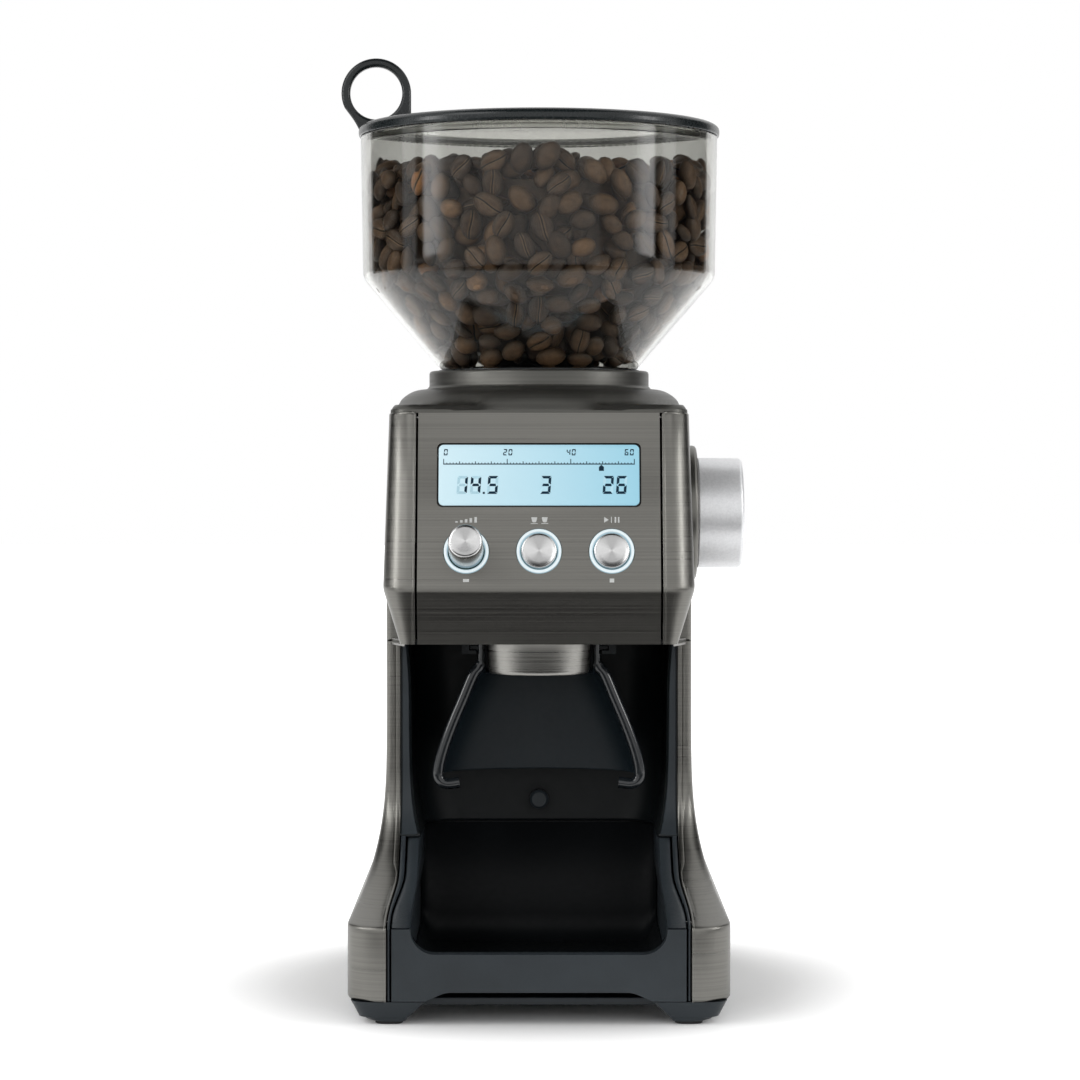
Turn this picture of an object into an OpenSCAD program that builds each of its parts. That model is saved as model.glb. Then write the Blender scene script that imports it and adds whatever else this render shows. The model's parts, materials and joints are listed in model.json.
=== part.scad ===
// Burr coffee grinder. Millimetres, +Z up, front towards -Y, grind size dial on +X.
// The origin is on the floor, straight under the hopper and burr axis.

/* [Housing] */
// Width of the head and of the column
body_w = 125; // [121:1:130]
// Width of the base across its flared sides
base_w = 151; // [146:1:158]
// Distance from the hopper axis to the front of the base
base_front = 102; // [98:1:108]
// Distance from the hopper axis to the rear of the base
base_rear = 106; // [104:1:112]
// Distance from the hopper axis to the rear edge of the top
head_rear = 90; // [88:1:96]
// Distance from the hopper axis to the front edge of the column
column_front = 38; // [34:1:42]
// Distance from the hopper axis to the upper edge of the control face
face_top_front = 58; // [56:1:62]
// Distance from the hopper axis to the crease under the control face
crease_front = 76; // [74:1:80]
// Distance from the hopper axis to the lower edge of the chin
chin_front = 72; // [70:1:75]
// Height of the feet under the housing
foot_h = 9.4; // [8:0.2:12]
// Height of the front of the base above the feet
base_h = 29.2; // [26:0.2:33]
// Height over which the base narrows to the column
flare_h = 56; // [50:1:62]
// Height of the underside of the head above the floor
head_z = 147.5; // [144:0.5:156]
// Height of the chin from the underside of the head to the crease
chin_h = 21.9; // [19:0.1:25]
// Height of the sloping control face above the crease
face_h = 70.6; // [69:0.2:76]
// Wall of the side panels and of the rear cover
panel_t = 2; // [1.6:0.1:2.4]
// Front return of the side panels beside the bay
panel_return = 3.2; // [2.8:0.1:3.6]
// Narrowing of each side of the head below the crease
chin_taper = 6.9; // [5:0.1:8]
// Radius of the vertical corners of the base
base_corner_r = 9; // [7:0.5:12]
// Radius of the front edges of the head
head_edge_r = 5; // [3:0.5:5.5]
// Half width of the rear cover
rear_cover_hw = 54; // [50:1:56]
// How much narrower the head is at its top, on each side
head_taper = 1.8; // [0.6:0.1:2.4]
// Height over which the sides flare out into the base
width_flare_h = 91.4; // [84:0.2:96]

/* [Face] */
// Width of the front fascia
fascia_w = 97; // [94:0.5:100]
// Wall of the front fascia
fascia_t = 2.5; // [2:0.1:2.8]
// Gap between the fascia and the side panels
fascia_gap = 1; // [0.6:0.1:1.4]
// Width of the display lens
display_w = 81; // [76:0.5:84]
// Height of the display lens along the slope
display_h = 25.6; // [23:0.1:27]
// Distance along the slope from the crease to the middle of the display
display_up = 47.1; // [46:0.1:49]
// Distance along the slope from the crease to the middle of the controls
controls_up = 15.9; // [15:0.1:17]
// Spacing of the three controls
control_pitch = 29; // [27:0.5:31]
// Outer radius of a light ring
light_ring_r = 9.15; // [8.9:0.05:9.6]
// Radius of a push button
button_r = 7.15; // [6.6:0.05:7.3]
// Radius of the amount knob
knob_r = 7; // [6.6:0.1:7.2]
// Length of the amount knob in front of the face
knob_l = 19; // [17:0.5:21]
// Travel of the push buttons and of the knob
button_travel = 1; // [0.6:0.1:1.2]

/* [Top] */
// Height of the edge of the top cap
cap_edge_h = 3.2; // [2.6:0.2:3.8]
// Rise of the domed part of the top cap
cap_dome_h = 7.2; // [6:0.2:8]
// Height of the collar above the housing
collar_h = 18; // [16:0.5:20]
// Outer radius of the collar round the hopper neck
collar_r = 46.1; // [45.5:0.1:48]
// Wall of the collar
collar_t = 3.6; // [3:0.1:3.8]

/* [Hopper] */
// Outer radius of the hopper at its rim
hopper_r = 74.8; // [72:0.2:78]
// Outer radius of the hopper at its crease
hopper_crease_r = 73.9; // [70:0.1:74]
// Height of the cone of the hopper
cone_h = 38; // [34:1:42]
// Height of the round wall of the hopper
hopper_wall_h = 59; // [54:1:64]
// Wall of the hopper
hopper_t = 2; // [1.6:0.1:2.4]
// Height of the rim of the lid
lid_h = 5; // [4:0.2:6]
// Overhang of the lid past the hopper
lid_lip = 0.8; // [0.4:0.1:1.4]
// Width of the black rim of the lid
lid_rim_w = 9.6; // [8.5:0.1:10]
// Outer radius of the finger ring on the lid
ring_r = 14.6; // [13:0.2:16]
// Inner radius of the finger ring
ring_bore_r = 10.9; // [9.5:0.1:11.5]
// Thickness of the finger ring
ring_t = 5; // [4:0.2:6]
// Radius of the round floor of the hopper base
gate_r = 37.4; // [36:0.1:37.6]

/* [Grind size] */
// Height of the dial axis above the underside of the head
dial_up = 51.1; // [50.1:0.1:52.5]
// Radius of the grind size dial
dial_r = 23.1; // [21:0.1:25]
// Length of the grind size dial
dial_l = 19.4; // [17:0.2:22]
// Radius of the boss behind the dial
boss_r = 28.3; // [26.5:0.1:30]
// Thickness of the boss
boss_t = 3.5; // [3:0.1:4.5]
// Radius of the dial shaft
dial_shaft_r = 4; // [3.5:0.1:4.5]
// Teeth of the dial pinion
dial_teeth = 12; // [11:1:13]
// Teeth of the adjusting ring
crown_teeth = 56; // [55:1:57]
// Module of the adjusting teeth
crown_module = 1.5; // [1.46:0.01:1.52]

/* [Burrs] */
// Outer radius of the burr carrier
carrier_r = 30; // [29:0.2:31]
// Height of the burr carrier
carrier_h = 32; // [30:1:34]
// Wall of the burr carrier
carrier_t = 4; // [3.5:0.1:4.5]
// Height of the ring burr
ring_burr_h = 12; // [10:0.5:13]
// Height of the cone burr
cone_burr_h = 20; // [18:0.5:22]
// Radius of the cone burr at its foot
cone_burr_r = 14; // [12.5:0.1:14.4]
// Flutes of the burrs
burr_flutes = 18; // [14:1:22]
// Radius of the burr shaft
burr_shaft_r = 5; // [4.4:0.1:5.6]
// Wall of the grinding chamber
chamber_t = 3.5; // [3:0.1:4]

/* [Drive] */
// Module of the drive gears
gear_module = 1; // [0.98:0.01:1.02]
// Teeth of the burr gear
burr_gear_teeth = 52; // [50:1:53]
// Teeth of the idler gear
idler_teeth = 25; // [24:1:26]
// Teeth of the motor pinion
pinion_teeth = 14; // [13:1:15]
// Face width of the drive gears
gear_h = 6; // [5:0.2:6]
// Radius of the motor can
motor_r = 33; // [31:0.5:34]
// Length of the motor can
motor_l = 81; // [74:1:86]
// Radius of the motor shaft
motor_shaft_r = 3; // [2.6:0.1:3.4]
// Half width of the inner frame
frame_hw = 43; // [41:0.5:46]

/* [Bay] */
// Distance from the hopper axis to the rear wall of the bay
bay_back = 12; // [11:0.5:14]
// Side wall of the bay liner beside the tray
liner_t = 1.2; // [1:0.1:1.5]
// Thickness of the bay liner above the tray
liner_upper_t = 5.5; // [4.5:0.1:6.5]
// Distance from the hopper axis to the outlet axis
outlet_front = 40; // [39:0.5:42]
// Radius of the outlet collar
outlet_r = 21.4; // [20.6:0.1:22]
// Length of the outlet collar below the head
outlet_h = 13.5; // [11:0.5:16]
// Half width of the cradle at its arms
cradle_hw = 43; // [41:0.5:45]
// Depth of the cradle
cradle_d = 40; // [34:1:44]
// Wall of the cradle
cradle_t = 3.2; // [2.6:0.1:3.6]
// Height of the lower end of the cradle above the floor
cradle_foot_z = 87; // [85:0.5:92]
// Height of the tray arms above the floor
tray_top_z = 67; // [60:1:70]
// Height of the lip of the tray above the floor
tray_lip_z = 28.1; // [25:0.1:31]
// Width of the walls of the tray
tray_wall = 7; // [5:0.2:8]
// Radius of the corners of the tray opening
tray_corner_r = 9.5; // [8:0.5:11]

/* [Hidden] */
$fn = 48;

// Clearances
running = 0.05;   // radial, round a turning or sliding shaft
free = 0.3;       // between moving pieces that only pass each other
loose = 0.5;      // between pieces that lift apart by hand
cut = 1;          // by which a cutting solid runs past what it cuts
big = 400;        // a length past everything

// Colours
gunmetal = [0.37, 0.37, 0.35];
satin_grey = [0.29, 0.29, 0.27];
charcoal = [0.22, 0.25, 0.27];
gloss_black = [0.06, 0.07, 0.08];
black = [0.1, 0.1, 0.11];
rubber = [0.12, 0.12, 0.12];
smoke = [0.55, 0.55, 0.57, 0.45];
steel = [0.72, 0.72, 0.74];
silver = [0.68, 0.69, 0.71];
ice = [0.75, 0.9, 0.97];
pcb_green = [0.1, 0.35, 0.2];
copper = [0.7, 0.42, 0.25];
nylon = [0.88, 0.86, 0.8];

// Heights of the housing
body_hw = body_w / 2;
base_hw = base_w / 2;
base_top_z = foot_h + base_h;
flare_top_z = base_top_z + flare_h;
crease_z = head_z + chin_h;
body_top_z = crease_z + face_h;
collar_top_z = body_top_z + collar_h;
dial_z = head_z + dial_up;
face_tilt = atan((crease_front - face_top_front) / face_h);
head_lean = atan(head_taper * cos(face_tilt) / face_h);
profile_steps = 10;
width_power = 4;
front_power = 2.6;

// Widths inside the side panels
seam = 0.5;
liner_hw = body_hw - panel_return - seam;
tray_clear = 0.4;
tray_hw = liner_hw - liner_t - tray_clear;
tray_inner_hw = tray_hw - tray_wall;
fascia_hw = fascia_w / 2;

// Levels of the gearbox and the grinding chamber
gearbox_z = head_z + 5.5;
plate_t = 2.5;
gear_z = gearbox_z + plate_t + loose;
cover_z = gear_z + gear_h + 1;
chamber_z = cover_z + plate_t;
chamber_floor_t = 3;
chamber_inner_r = carrier_r + loose;
chamber_outer_r = chamber_inner_r + chamber_t;
grounds_z = chamber_z + chamber_floor_t;

// Adjusting gears: a spur pinion on the dial shaft meets a ring with face teeth
dial_pitch_r = dial_teeth * crown_module / 2;
crown_pitch_r = crown_teeth * crown_module / 2;
crown_pitch_z = dial_z - dial_pitch_r;
crown_face_w = 4;
crown_root_z = crown_pitch_z - 1.1 * crown_module;
crown_tip_z = crown_pitch_z + 0.72 * crown_module;
crown_plate_t = 2.5;
crown_outer_r = crown_pitch_r + crown_face_w / 2 + 1;
chamber_top_z = crown_root_z - crown_plate_t - free;
shelf_r = crown_outer_r + 7;
shelf_t = 4;

// Burrs and their carrier
impeller_z = grounds_z + loose;
impeller_t = 2;
impeller_blade_h = 4;
impeller_r = chamber_inner_r - 2;
burr_z = impeller_z + impeller_t + impeller_blade_h + 1.5;
carrier_z = burr_z + ring_burr_h / 2;
carrier_inner_r = carrier_r - carrier_t;
carrier_top_z = carrier_z + carrier_h;
burr_gap = 1.2;
burr_shaft_top_z = burr_z + cone_burr_h + 8;
handle_wire_r = 1.2;
handle_arc_r = carrier_inner_r - 4;
handle_pivot_z = carrier_top_z - 3;

// Hopper stack: the seat carries the base ring, which carries the shell
seat_top_z = body_top_z - 2;
seat_flange_t = 4;
seat_z = crown_tip_z + 1.8;
post_r = 3;
post_angles = [60, 180, 300];
post_ring_r = shelf_r - post_r - loose;
collar_inner_r = collar_r - collar_t;
base_ring_r = collar_inner_r - loose;
base_ring_top_z = collar_top_z + 0.5;
base_ring_floor_t = 3;
base_ring_inner_r = gate_r + loose + 0.1;
gate_z = seat_top_z + base_ring_floor_t + free;
gate_t = 2;
gate_hub_r = 4;
port_inner_r = 9;
port_outer_r = 31;
port_angle = 70;
neck_r = base_ring_inner_r;
neck_z = gate_z + gate_t + 1.4;
cone_z = base_ring_top_z + 0.5;
cone_foot_r = base_ring_r - 1;
hopper_crease_z = cone_z + cone_h;
hopper_top_z = hopper_crease_z + hopper_wall_h;
hopper_mouth_r = hopper_r - hopper_t;
lid_r = hopper_r + lid_lip;
lid_disc_r = lid_r - lid_rim_w;
plug_r = hopper_mouth_r - 2.4;
plug_h = 3.3;
gasket_t = 1.2;
ring_x = -(lid_r - ring_r / 2);
ring_z = hopper_top_z + lid_h + ring_r - 1;

// Gear centres along Y
burr_gear_r = burr_gear_teeth * gear_module / 2;
idler_r = idler_teeth * gear_module / 2;
pinion_r = pinion_teeth * gear_module / 2;
idler_y = burr_gear_r + idler_r;
motor_y = idler_y + idler_r + pinion_r;
idler_pin_r = 3;
tip_clear = 1.8;
gearbox_wall = 2;
bearing_w = 4;

// Motor levels
frame_t = 3;
motor_top_z = gearbox_z - frame_t;
motor_foot_z = motor_top_z - motor_l;
motor_cap_h = 6;
motor_wall = 2.5;
motor_lid_t = 3;
stator_z = motor_foot_z + 12;
stator_h = motor_l - 32;
rotor_r = 22;

// Bay, cradle and outlet
liner_back_t = 2;
frame_front_y = bay_back + liner_back_t;
frame_back_y = motor_y + motor_r;
head_floor_t = 2;
head_floor_hw = body_hw - chin_taper - loose;
outlet_wall = 3.2;
outlet_taper = 0.8;
outlet_top_z = gearbox_z - loose;
duct_hw = 13;
duct_wall = 2;
duct_front = outlet_front + 18;
duct_back = chamber_outer_r - 4;
duct_top_z = grounds_z + 11.5;
port_hw = duct_hw - duct_wall;
stalk_x = outlet_r + cradle_t + loose;
rail_z = head_z - 5.5;
rail_w = 6;
tongue_z = head_z - 3.8;
tongue_t = 1.6;
tongue_w = 3;
cradle_front_y = -outlet_front - 6;
cradle_knee_z = head_z - 10;
cradle_knee_x = stalk_x + 3.5;
hook_in = 10;
hook_h = 3.4;
cradle_back_top_z = head_z - outlet_h - 1;
plunger_z = (tray_top_z + cradle_foot_z) / 2;
plunger_r = 4;
plunger_stem_r = 3;
plunger_travel = 4;
switch_hw = 8;
switch_d = 8;

// Tray
tray_z = foot_h + free;
tray_floor_t = 2.5;
tray_front_y = -base_front + 0.6;
tray_back_y = bay_back - loose;
arch_hw = 44.7;
arch_top_hw = 36.6;
arch_h = 3.6;

// Base
chassis_t = 3;
foot_len = 30;
foot_pad_t = 1.5;
foot_in = 9.4;
foot_w_top = 34;
foot_w = 21;
screw_head_r = 3;
screw_head_h = 2;
screw_r = 1.6;
screw_out = 2.5;      // base screws, outwards of the inner frame
screw_in = 36;        // base screws, inwards of the front and rear edges

// ---------- shared shapes ----------

// Half width of the housing below the crease at height z
function housing_hw(z) = body_hw
    + (base_hw - body_hw) * pow(max(0, min(1, (base_top_z + width_flare_h - z) / width_flare_h)), width_power);

// Half width of the head above the crease at height z
function head_hw(z) = body_hw - head_taper * (z - crease_z) / face_h;

// Distance of the front edge of the housing below the head at height z
function housing_front(z) = column_front
    + (base_front - column_front) * pow(max(0, min(1, (flare_top_z - z) / flare_h)), front_power);

// Distance of the rear of the housing at height z
function housing_rear(z) = base_rear
    + (head_rear - base_rear) * (z - foot_h) / (body_top_z - foot_h);

// Distance of the sloping face at height z
function face_front(z) = crease_front
    + (face_top_front - crease_front) * (z - crease_z) / face_h;

function flare_z(i) = base_top_z + flare_h * i / profile_steps;

function width_z(i) = base_top_z + width_flare_h * i / profile_steps;

// Outline of the housing seen from the side, as [y, z], moved inwards by an inset
function side_outline(inset) = concat(
    [[-base_front + inset, foot_h - inset]],
    [for (i = [0:profile_steps]) [-housing_front(flare_z(i)) + inset, flare_z(i) - inset]],
    [
        [-column_front + inset, head_z + inset],
        [-chin_front + inset, head_z + inset],
        [-crease_front + inset, crease_z],
        [-face_top_front + inset, body_top_z + inset],
        [head_rear - inset, body_top_z + inset],
        [base_rear - inset, foot_h - inset]
    ]
);

// Outline of the housing seen from the front, as [x, z]
function front_outline(inset) = concat(
    [[-base_hw + inset, foot_h - inset]],
    [for (i = [0:profile_steps]) [-housing_hw(width_z(i)) + inset, width_z(i)]],
    [[-body_hw + inset, crease_z], [-head_hw(body_top_z) + inset, body_top_z + inset]],
    [[head_hw(body_top_z) - inset, body_top_z + inset], [body_hw - inset, crease_z]],
    [for (i = [profile_steps:-1:0]) [housing_hw(width_z(i)) - inset, width_z(i)]],
    [[base_hw - inset, foot_h - inset]]
);

// Extrudes a [y, z] outline along X from x0 to x1
module along_x(x0, x1) {
    translate([x0, 0, 0])
        rotate([90, 0, 90])
            linear_extrude(x1 - x0)
                children();
}

// Extrudes an [x, z] outline along Y from y0 to y1
module along_y(y0, y1) {
    translate([0, y1, 0])
        rotate([90, 0, 0])
            linear_extrude(y1 - y0)
                children();
}

module block(low, high) {
    translate(low)
        cube(high - low);
}

module rod(r, z0, z1) {
    translate([0, 0, z0])
        cylinder(r = r, h = z1 - z0);
}

module tube(r_out, r_in, z0, z1) {
    rotate_extrude()
        translate([r_in, z0])
            square([r_out - r_in, z1 - z0]);
}

module rounded_rect(low, high, r) {
    translate([low[0] + r, low[1]])
        square([high[0] - low[0] - 2 * r, high[1] - low[1]]);
    translate([low[0], low[1] + r])
        square([high[0] - low[0], high[1] - low[1] - 2 * r]);
    for (x = [low[0] + r, high[0] - r], y = [low[1] + r, high[1] - r])
        translate([x, y])
            circle(r);
}

module both_sides() {
    children();
    mirror([1, 0, 0])
        children();
}

// Places children on the sloping face: Z runs up the slope and -Y points out of it
module on_face(up) {
    translate([0, -crease_front, crease_z])
        rotate([-face_tilt, 0, 0])
            translate([0, 0, up])
                children();
}

// Turns a shape made along Z so that it points into the face
module into_face() {
    rotate([-90, 0, 0])
        children();
}

// Places a shape made along Z on the dial axis, with its Z along +X
module on_dial_axis() {
    translate([0, 0, dial_z])
        rotate([0, 90, 0])
            children();
}

// Straight-sided gear tooth outline: narrow enough to leave backlash
module gear_2d(teeth, m, phase) {
    pitch_r = teeth * m / 2;
    root_r = pitch_r - 1.25 * m;
    tip_r = pitch_r + 0.85 * m;
    step = 360 / teeth;
    circle(root_r + 0.01);
    for (i = [0:teeth - 1])
        rotate(phase + i * step)
            polygon([
                [root_r - 0.4 * m, -0.85 * m],
                [root_r, -0.85 * m],
                [pitch_r, -0.6 * m],
                [tip_r, -0.3 * m],
                [tip_r, 0.3 * m],
                [pitch_r, 0.6 * m],
                [root_r, 0.85 * m],
                [root_r - 0.4 * m, 0.85 * m]
            ]);
}

// Phase of a gear that meshes with another of a known phase, which lies on its -Y side
function mesh_phase(phase_a, teeth_a, teeth_b) =
    270 - (360 / teeth_b) * (0.5 - (90 - phase_a) * teeth_a / 360);

burr_gear_phase = 90;
idler_phase = mesh_phase(burr_gear_phase, burr_gear_teeth, idler_teeth);
pinion_phase = mesh_phase(idler_phase, idler_teeth, pinion_teeth);

// ---------- housing ----------

module housing_solid(inset) {
    difference() {
        intersection() {
            along_x(-big, big)
                polygon(side_outline(inset));
            along_y(-big, big)
                polygon(front_outline(inset));
            translate([0, 0, -cut])
                linear_extrude(big)
                    rounded_rect(
                        [-base_hw + inset, -base_front + inset],
                        [base_hw - inset, base_rear - inset],
                        base_corner_r
                    );
        }
        both_sides()
            along_y(-base_front - cut, -column_front + inset)
                polygon([
                    [body_hw - inset, crease_z],
                    [body_hw - chin_taper - inset, head_z - cut],
                    [base_hw + cut, head_z - cut],
                    [base_hw + cut, crease_z]
                ] );
    }
}

// Removes the sharp front edge of one side of the head, along the slope
module head_edge_cut() {
    on_face(0)
        translate([body_hw, 0, 0])
            rotate([0, -head_lean, 0])
                translate([-head_edge_r, 0, -chin_h])
                    difference() {
                        translate([0, -cut, 0])
                            cube([head_edge_r + cut, head_edge_r + cut, face_h + 2 * chin_h]);
                        translate([0, head_edge_r, -cut])
                            cylinder(r = head_edge_r, h = face_h + 2 * chin_h + 2 * cut);
                    }
}

module housing_skin() {
    difference() {
        housing_solid(0);
        housing_solid(panel_t);
        block([-big, -big, body_top_z], [big, big, big]);
        both_sides()
            head_edge_cut();
    }
}

// Left side panel, wrapped round the front of the head, the column and the boot of the base
module side_panel() {
    panel_hw = liner_hw + seam;
    frame_hw_in = fascia_hw + fascia_gap;
    rear_y = base_rear - 40;
    difference() {
        intersection() {
            housing_skin();
            union() {
                block([-big, -big, head_z], [-frame_hw_in, rear_y, big]);
                block([-big, -big, -big], [-panel_hw, rear_y, head_z + cut]);
                block([-big, rear_y, -big], [-rear_cover_hw - free, big, big]);
            }
        }
        block(
            [-head_floor_hw - seam, -chin_front + panel_t, head_z - cut],
            [0, rear_y, head_z + head_floor_t]
        );
    }
}

module left_side_panel() {
    color(gunmetal)
        side_panel();
}

module right_side_panel() {
    color(gunmetal)
        difference() {
            mirror([1, 0, 0])
                side_panel();
            on_dial_axis()
                rod(bushing_r, body_hw - 3 * panel_t, body_hw + cut);
        }
}

module rear_cover() {
    vent_w = 36;
    color(charcoal)
        difference() {
            intersection() {
                housing_skin();
                block([-rear_cover_hw, base_rear - 40, -big], [rear_cover_hw, big, big]);
            }
            for (i = [0:5])
                block(
                    [-vent_w / 2, base_rear - 40, base_top_z + 12 + 6 * i],
                    [vent_w / 2, base_rear + cut, base_top_z + 14.5 + 6 * i]
                );
            translate([gland_x, base_rear + cut, gland_z])
                rotate([90, 0, 0])
                    cylinder(r = gland_r, h = 12);
            for (x = [-1, 1], z = rear_screw_z)
                translate([x * (rear_cover_hw - 6), base_rear + cut, z])
                    rotate([90, 0, 0])
                        cylinder(r = screw_r, h = 30);
        }
}

gland_x = -30;
gland_z = base_top_z - 12;
gland_r = 6;
rear_screw_z = [base_top_z, body_top_z - 20];

module cord_gland() {
    color(rubber)
        translate([gland_x, base_rear + 3, gland_z])
            rotate([90, 0, 0])
                difference() {
                    union() {
                        cylinder(r = gland_r, h = 12);
                        cylinder(r = gland_r + 2, h = 2);
                        translate([0, 0, 8])
                            cylinder(r = gland_r + 2, h = 4);
                    }
                    translate([0, 0, -cut])
                        cylinder(r = 3.6, h = 12 + 2 * cut);
                }
}

// Screws of the rear cover and of the base, one shared kind
module screw() {
    cylinder(r = screw_head_r, h = screw_head_h);
    cylinder(r = screw_r, h = screw_head_h + chassis_t);
}

module case_screws() {
    color(steel) {
        for (x = [-1, 1], z = rear_screw_z)
            translate([x * (rear_cover_hw - 6), housing_rear(z) + screw_head_h + 0.4, z])
                rotate([90, 0, 0])
                    screw();
        for (x = [-1, 1], y = [-1, 1])
            translate([x * base_screw_x, base_screw_y(y), foot_h - chassis_t - screw_head_h])
                screw();
    }
}

base_screw_x = frame_hw + screw_out;
function base_screw_y(side) = side < 0 ? -base_front + screw_in : base_rear - screw_in;

dome_steps = 6;
dome_power = 2.4;

module top_cap() {
    cap_hw = head_hw(body_top_z) - 0.4;
    edge_z = body_top_z + cap_edge_h;
    dome_out_r = cap_hw - 0.7;
    dome_in_r = collar_r + 1.2;
    color(satin_grey)
        difference() {
            union() {
                translate([0, 0, body_top_z])
                    linear_extrude(cap_edge_h)
                        rounded_rect([-cap_hw, -face_top_front + 0.4], [cap_hw, head_rear - 0.4], 12);
                intersection() {
                    rotate_extrude()
                        polygon(concat(
                            [[collar_inner_r, body_top_z], [dome_out_r, body_top_z]],
                            [for (i = [dome_steps:-1:0])
                                [
                                    dome_in_r + (dome_out_r - dome_in_r) * i / dome_steps,
                                    edge_z + cap_dome_h * (1 - pow(i / dome_steps, dome_power))
                                ]
                            ],
                            [
                                [collar_r, edge_z + cap_dome_h + 2],
                                [collar_r, collar_top_z - 0.8],
                                [collar_r - 0.8, collar_top_z],
                                [collar_inner_r, collar_top_z]
                            ]
                        ));
                    block([-big, -face_top_front + 1, body_top_z], [big, big, big]);
                }
            }
            rod(collar_inner_r, body_top_z - cut, collar_top_z + cut);
        }
}

module base_chassis() {
    plate_z = foot_h - chassis_t;
    color(charcoal)
        difference() {
            union() {
                translate([0, 0, plate_z])
                    linear_extrude(chassis_t)
                        rounded_rect(
                            [-base_hw + 1, -base_front + 12],
                            [base_hw - 1, base_rear - 1],
                            base_corner_r
                        );
                both_sides()
                    for (y = [-base_front + 1, base_rear - foot_len - 1])
                        along_y(y, y + foot_len)
                            polygon([
                                [base_hw - foot_in, foot_pad_t],
                                [base_hw - 1.5, foot_h],
                                [base_hw - 1.5 - foot_w_top, foot_h],
                                [base_hw - foot_in - foot_w, foot_pad_t]
                            ]);
            }
            for (x = [-1, 1], y = [-1, 1])
                translate([x * base_screw_x, base_screw_y(y), 0])
                    rod(screw_r, plate_z - cut, foot_h + cut);
        }
}

module rubber_feet() {
    color(rubber)
        both_sides()
            for (y = [-base_front + 4, base_rear - foot_len + 2])
                block(
                    [base_hw - foot_in - foot_w + 1, y, 0],
                    [base_hw - foot_in - 1, y + foot_len - 6, foot_pad_t]
                );
}

module front_fascia() {
    color(gunmetal)
        difference() {
            along_x(-fascia_hw, fascia_hw)
                polygon([
                    [-chin_front, head_z],
                    [-crease_front, crease_z],
                    [-face_top_front, body_top_z],
                    [-face_top_front + fascia_t, body_top_z],
                    [-crease_front + fascia_t, crease_z],
                    [-chin_front + fascia_t, head_z]
                ]);
            on_face(display_up)
                block(
                    [-display_w / 2 - 0.15, -cut, -display_h / 2 - 0.15],
                    [display_w / 2 + 0.15, fascia_t + cut, display_h / 2 + 0.15]
                );
            for (i = [-1:1])
                on_face(controls_up)
                    translate([i * control_pitch, 0, 0])
                        into_face()
                            rod(light_ring_r, -cut, fascia_t + cut);
        }
}

module head_floor() {
    rail_x = stalk_x + tongue_w + free;
    color(gloss_black) {
        difference() {
            block(
                [-head_floor_hw, -chin_front + fascia_t, head_z],
                [head_floor_hw, bay_back + liner_back_t, head_z + head_floor_t]
            );
            translate([0, -outlet_front, 0])
                rod(outlet_r, head_z - cut, head_z + head_floor_t + cut);
        }
        both_sides()
            difference() {
                block(
                    [stalk_x + free + 0.2, cradle_front_y, rail_z],
                    [stalk_x + free + rail_w, bay_back, head_z]
                );
                block(
                    [stalk_x - cut, cradle_front_y - cut, tongue_z - free],
                    [rail_x, bay_back + cut, tongue_z + tongue_t + free]
                );
            }
    }
}

module bay_liner() {
    color(gloss_black)
        difference() {
            union() {
                intersection() {
                    along_x(-liner_hw, liner_hw)
                        polygon(side_outline(1));
                    union() {
                        both_sides()
                            block([liner_hw - liner_t, -big, foot_h], [liner_hw, bay_back + liner_back_t, head_z]);
                        both_sides()
                            block(
                                [liner_hw - liner_upper_t, -big, tray_top_z + free],
                                [liner_hw, bay_back + liner_back_t, head_z]
                            );
                    }
                }
                block([-liner_hw, bay_back, foot_h], [liner_hw, bay_back + liner_back_t, head_z]);
            }
            translate([0, bay_back, plunger_z])
                rotate([90, 0, 0])
                    translate([0, 0, -liner_back_t - cut])
                        cylinder(r = plunger_stem_r + running, h = liner_back_t + 2 * cut);
        }
}

module inner_frame() {
    post_w = 4;
    color(steel)
        difference() {
            union() {
                both_sides()
                    block(
                        [frame_hw - frame_t, frame_front_y, foot_h],
                        [frame_hw, frame_back_y, gearbox_z]
                    );
                block(
                    [-frame_hw, frame_front_y, gearbox_z - frame_t],
                    [frame_hw, frame_back_y, gearbox_z]
                );
                for (y = board_post_y, z = board_post_z)
                    block([-frame_hw - board_gap, y, z], [-frame_hw, y + post_w, z + post_w]);
            }
            translate([0, motor_y, 0])
                rod(motor_shaft_r + bearing_w + 1, gearbox_z - frame_t - cut, gearbox_z + cut);
        }
}

board_gap = 4;
board_post_y = [frame_front_y + 8, frame_back_y - 12];
board_post_z = [foot_h + 26, foot_h + 106];

module power_board() {
    board_t = 1.6;
    x1 = -frame_hw - board_gap;
    color(pcb_green)
        block([x1 - board_t, frame_front_y + 5, foot_h + 20], [x1, frame_back_y - 5, foot_h + 116]);
    color(black) {
        block([x1, frame_front_y + 24, foot_h + 40], [x1 + 3.4, frame_front_y + 44, foot_h + 60]);
        block([x1 - board_t - 5, frame_front_y + 20, foot_h + 84], [x1 - board_t, frame_front_y + 40, foot_h + 104]);
    }
    color(copper)
        translate([0, frame_front_y + 55, foot_h + 94])
            rotate([0, -90, 0])
                translate([0, 0, -x1 + board_t])
                    cylinder(r = 8, h = 6);
}

// ---------- outlet ----------

module outlet_collar() {
    foot_z = head_z - outlet_h;
    color(gunmetal)
        translate([0, -outlet_front, 0])
            rotate_extrude()
                polygon([
                    [outlet_r - outlet_wall, outlet_top_z],
                    [outlet_r, outlet_top_z],
                    [outlet_r, head_z],
                    [outlet_r - outlet_taper, foot_z + 0.6],
                    [outlet_r - outlet_taper - 0.6, foot_z],
                    [outlet_r - outlet_wall, foot_z]
                ]);
}

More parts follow.
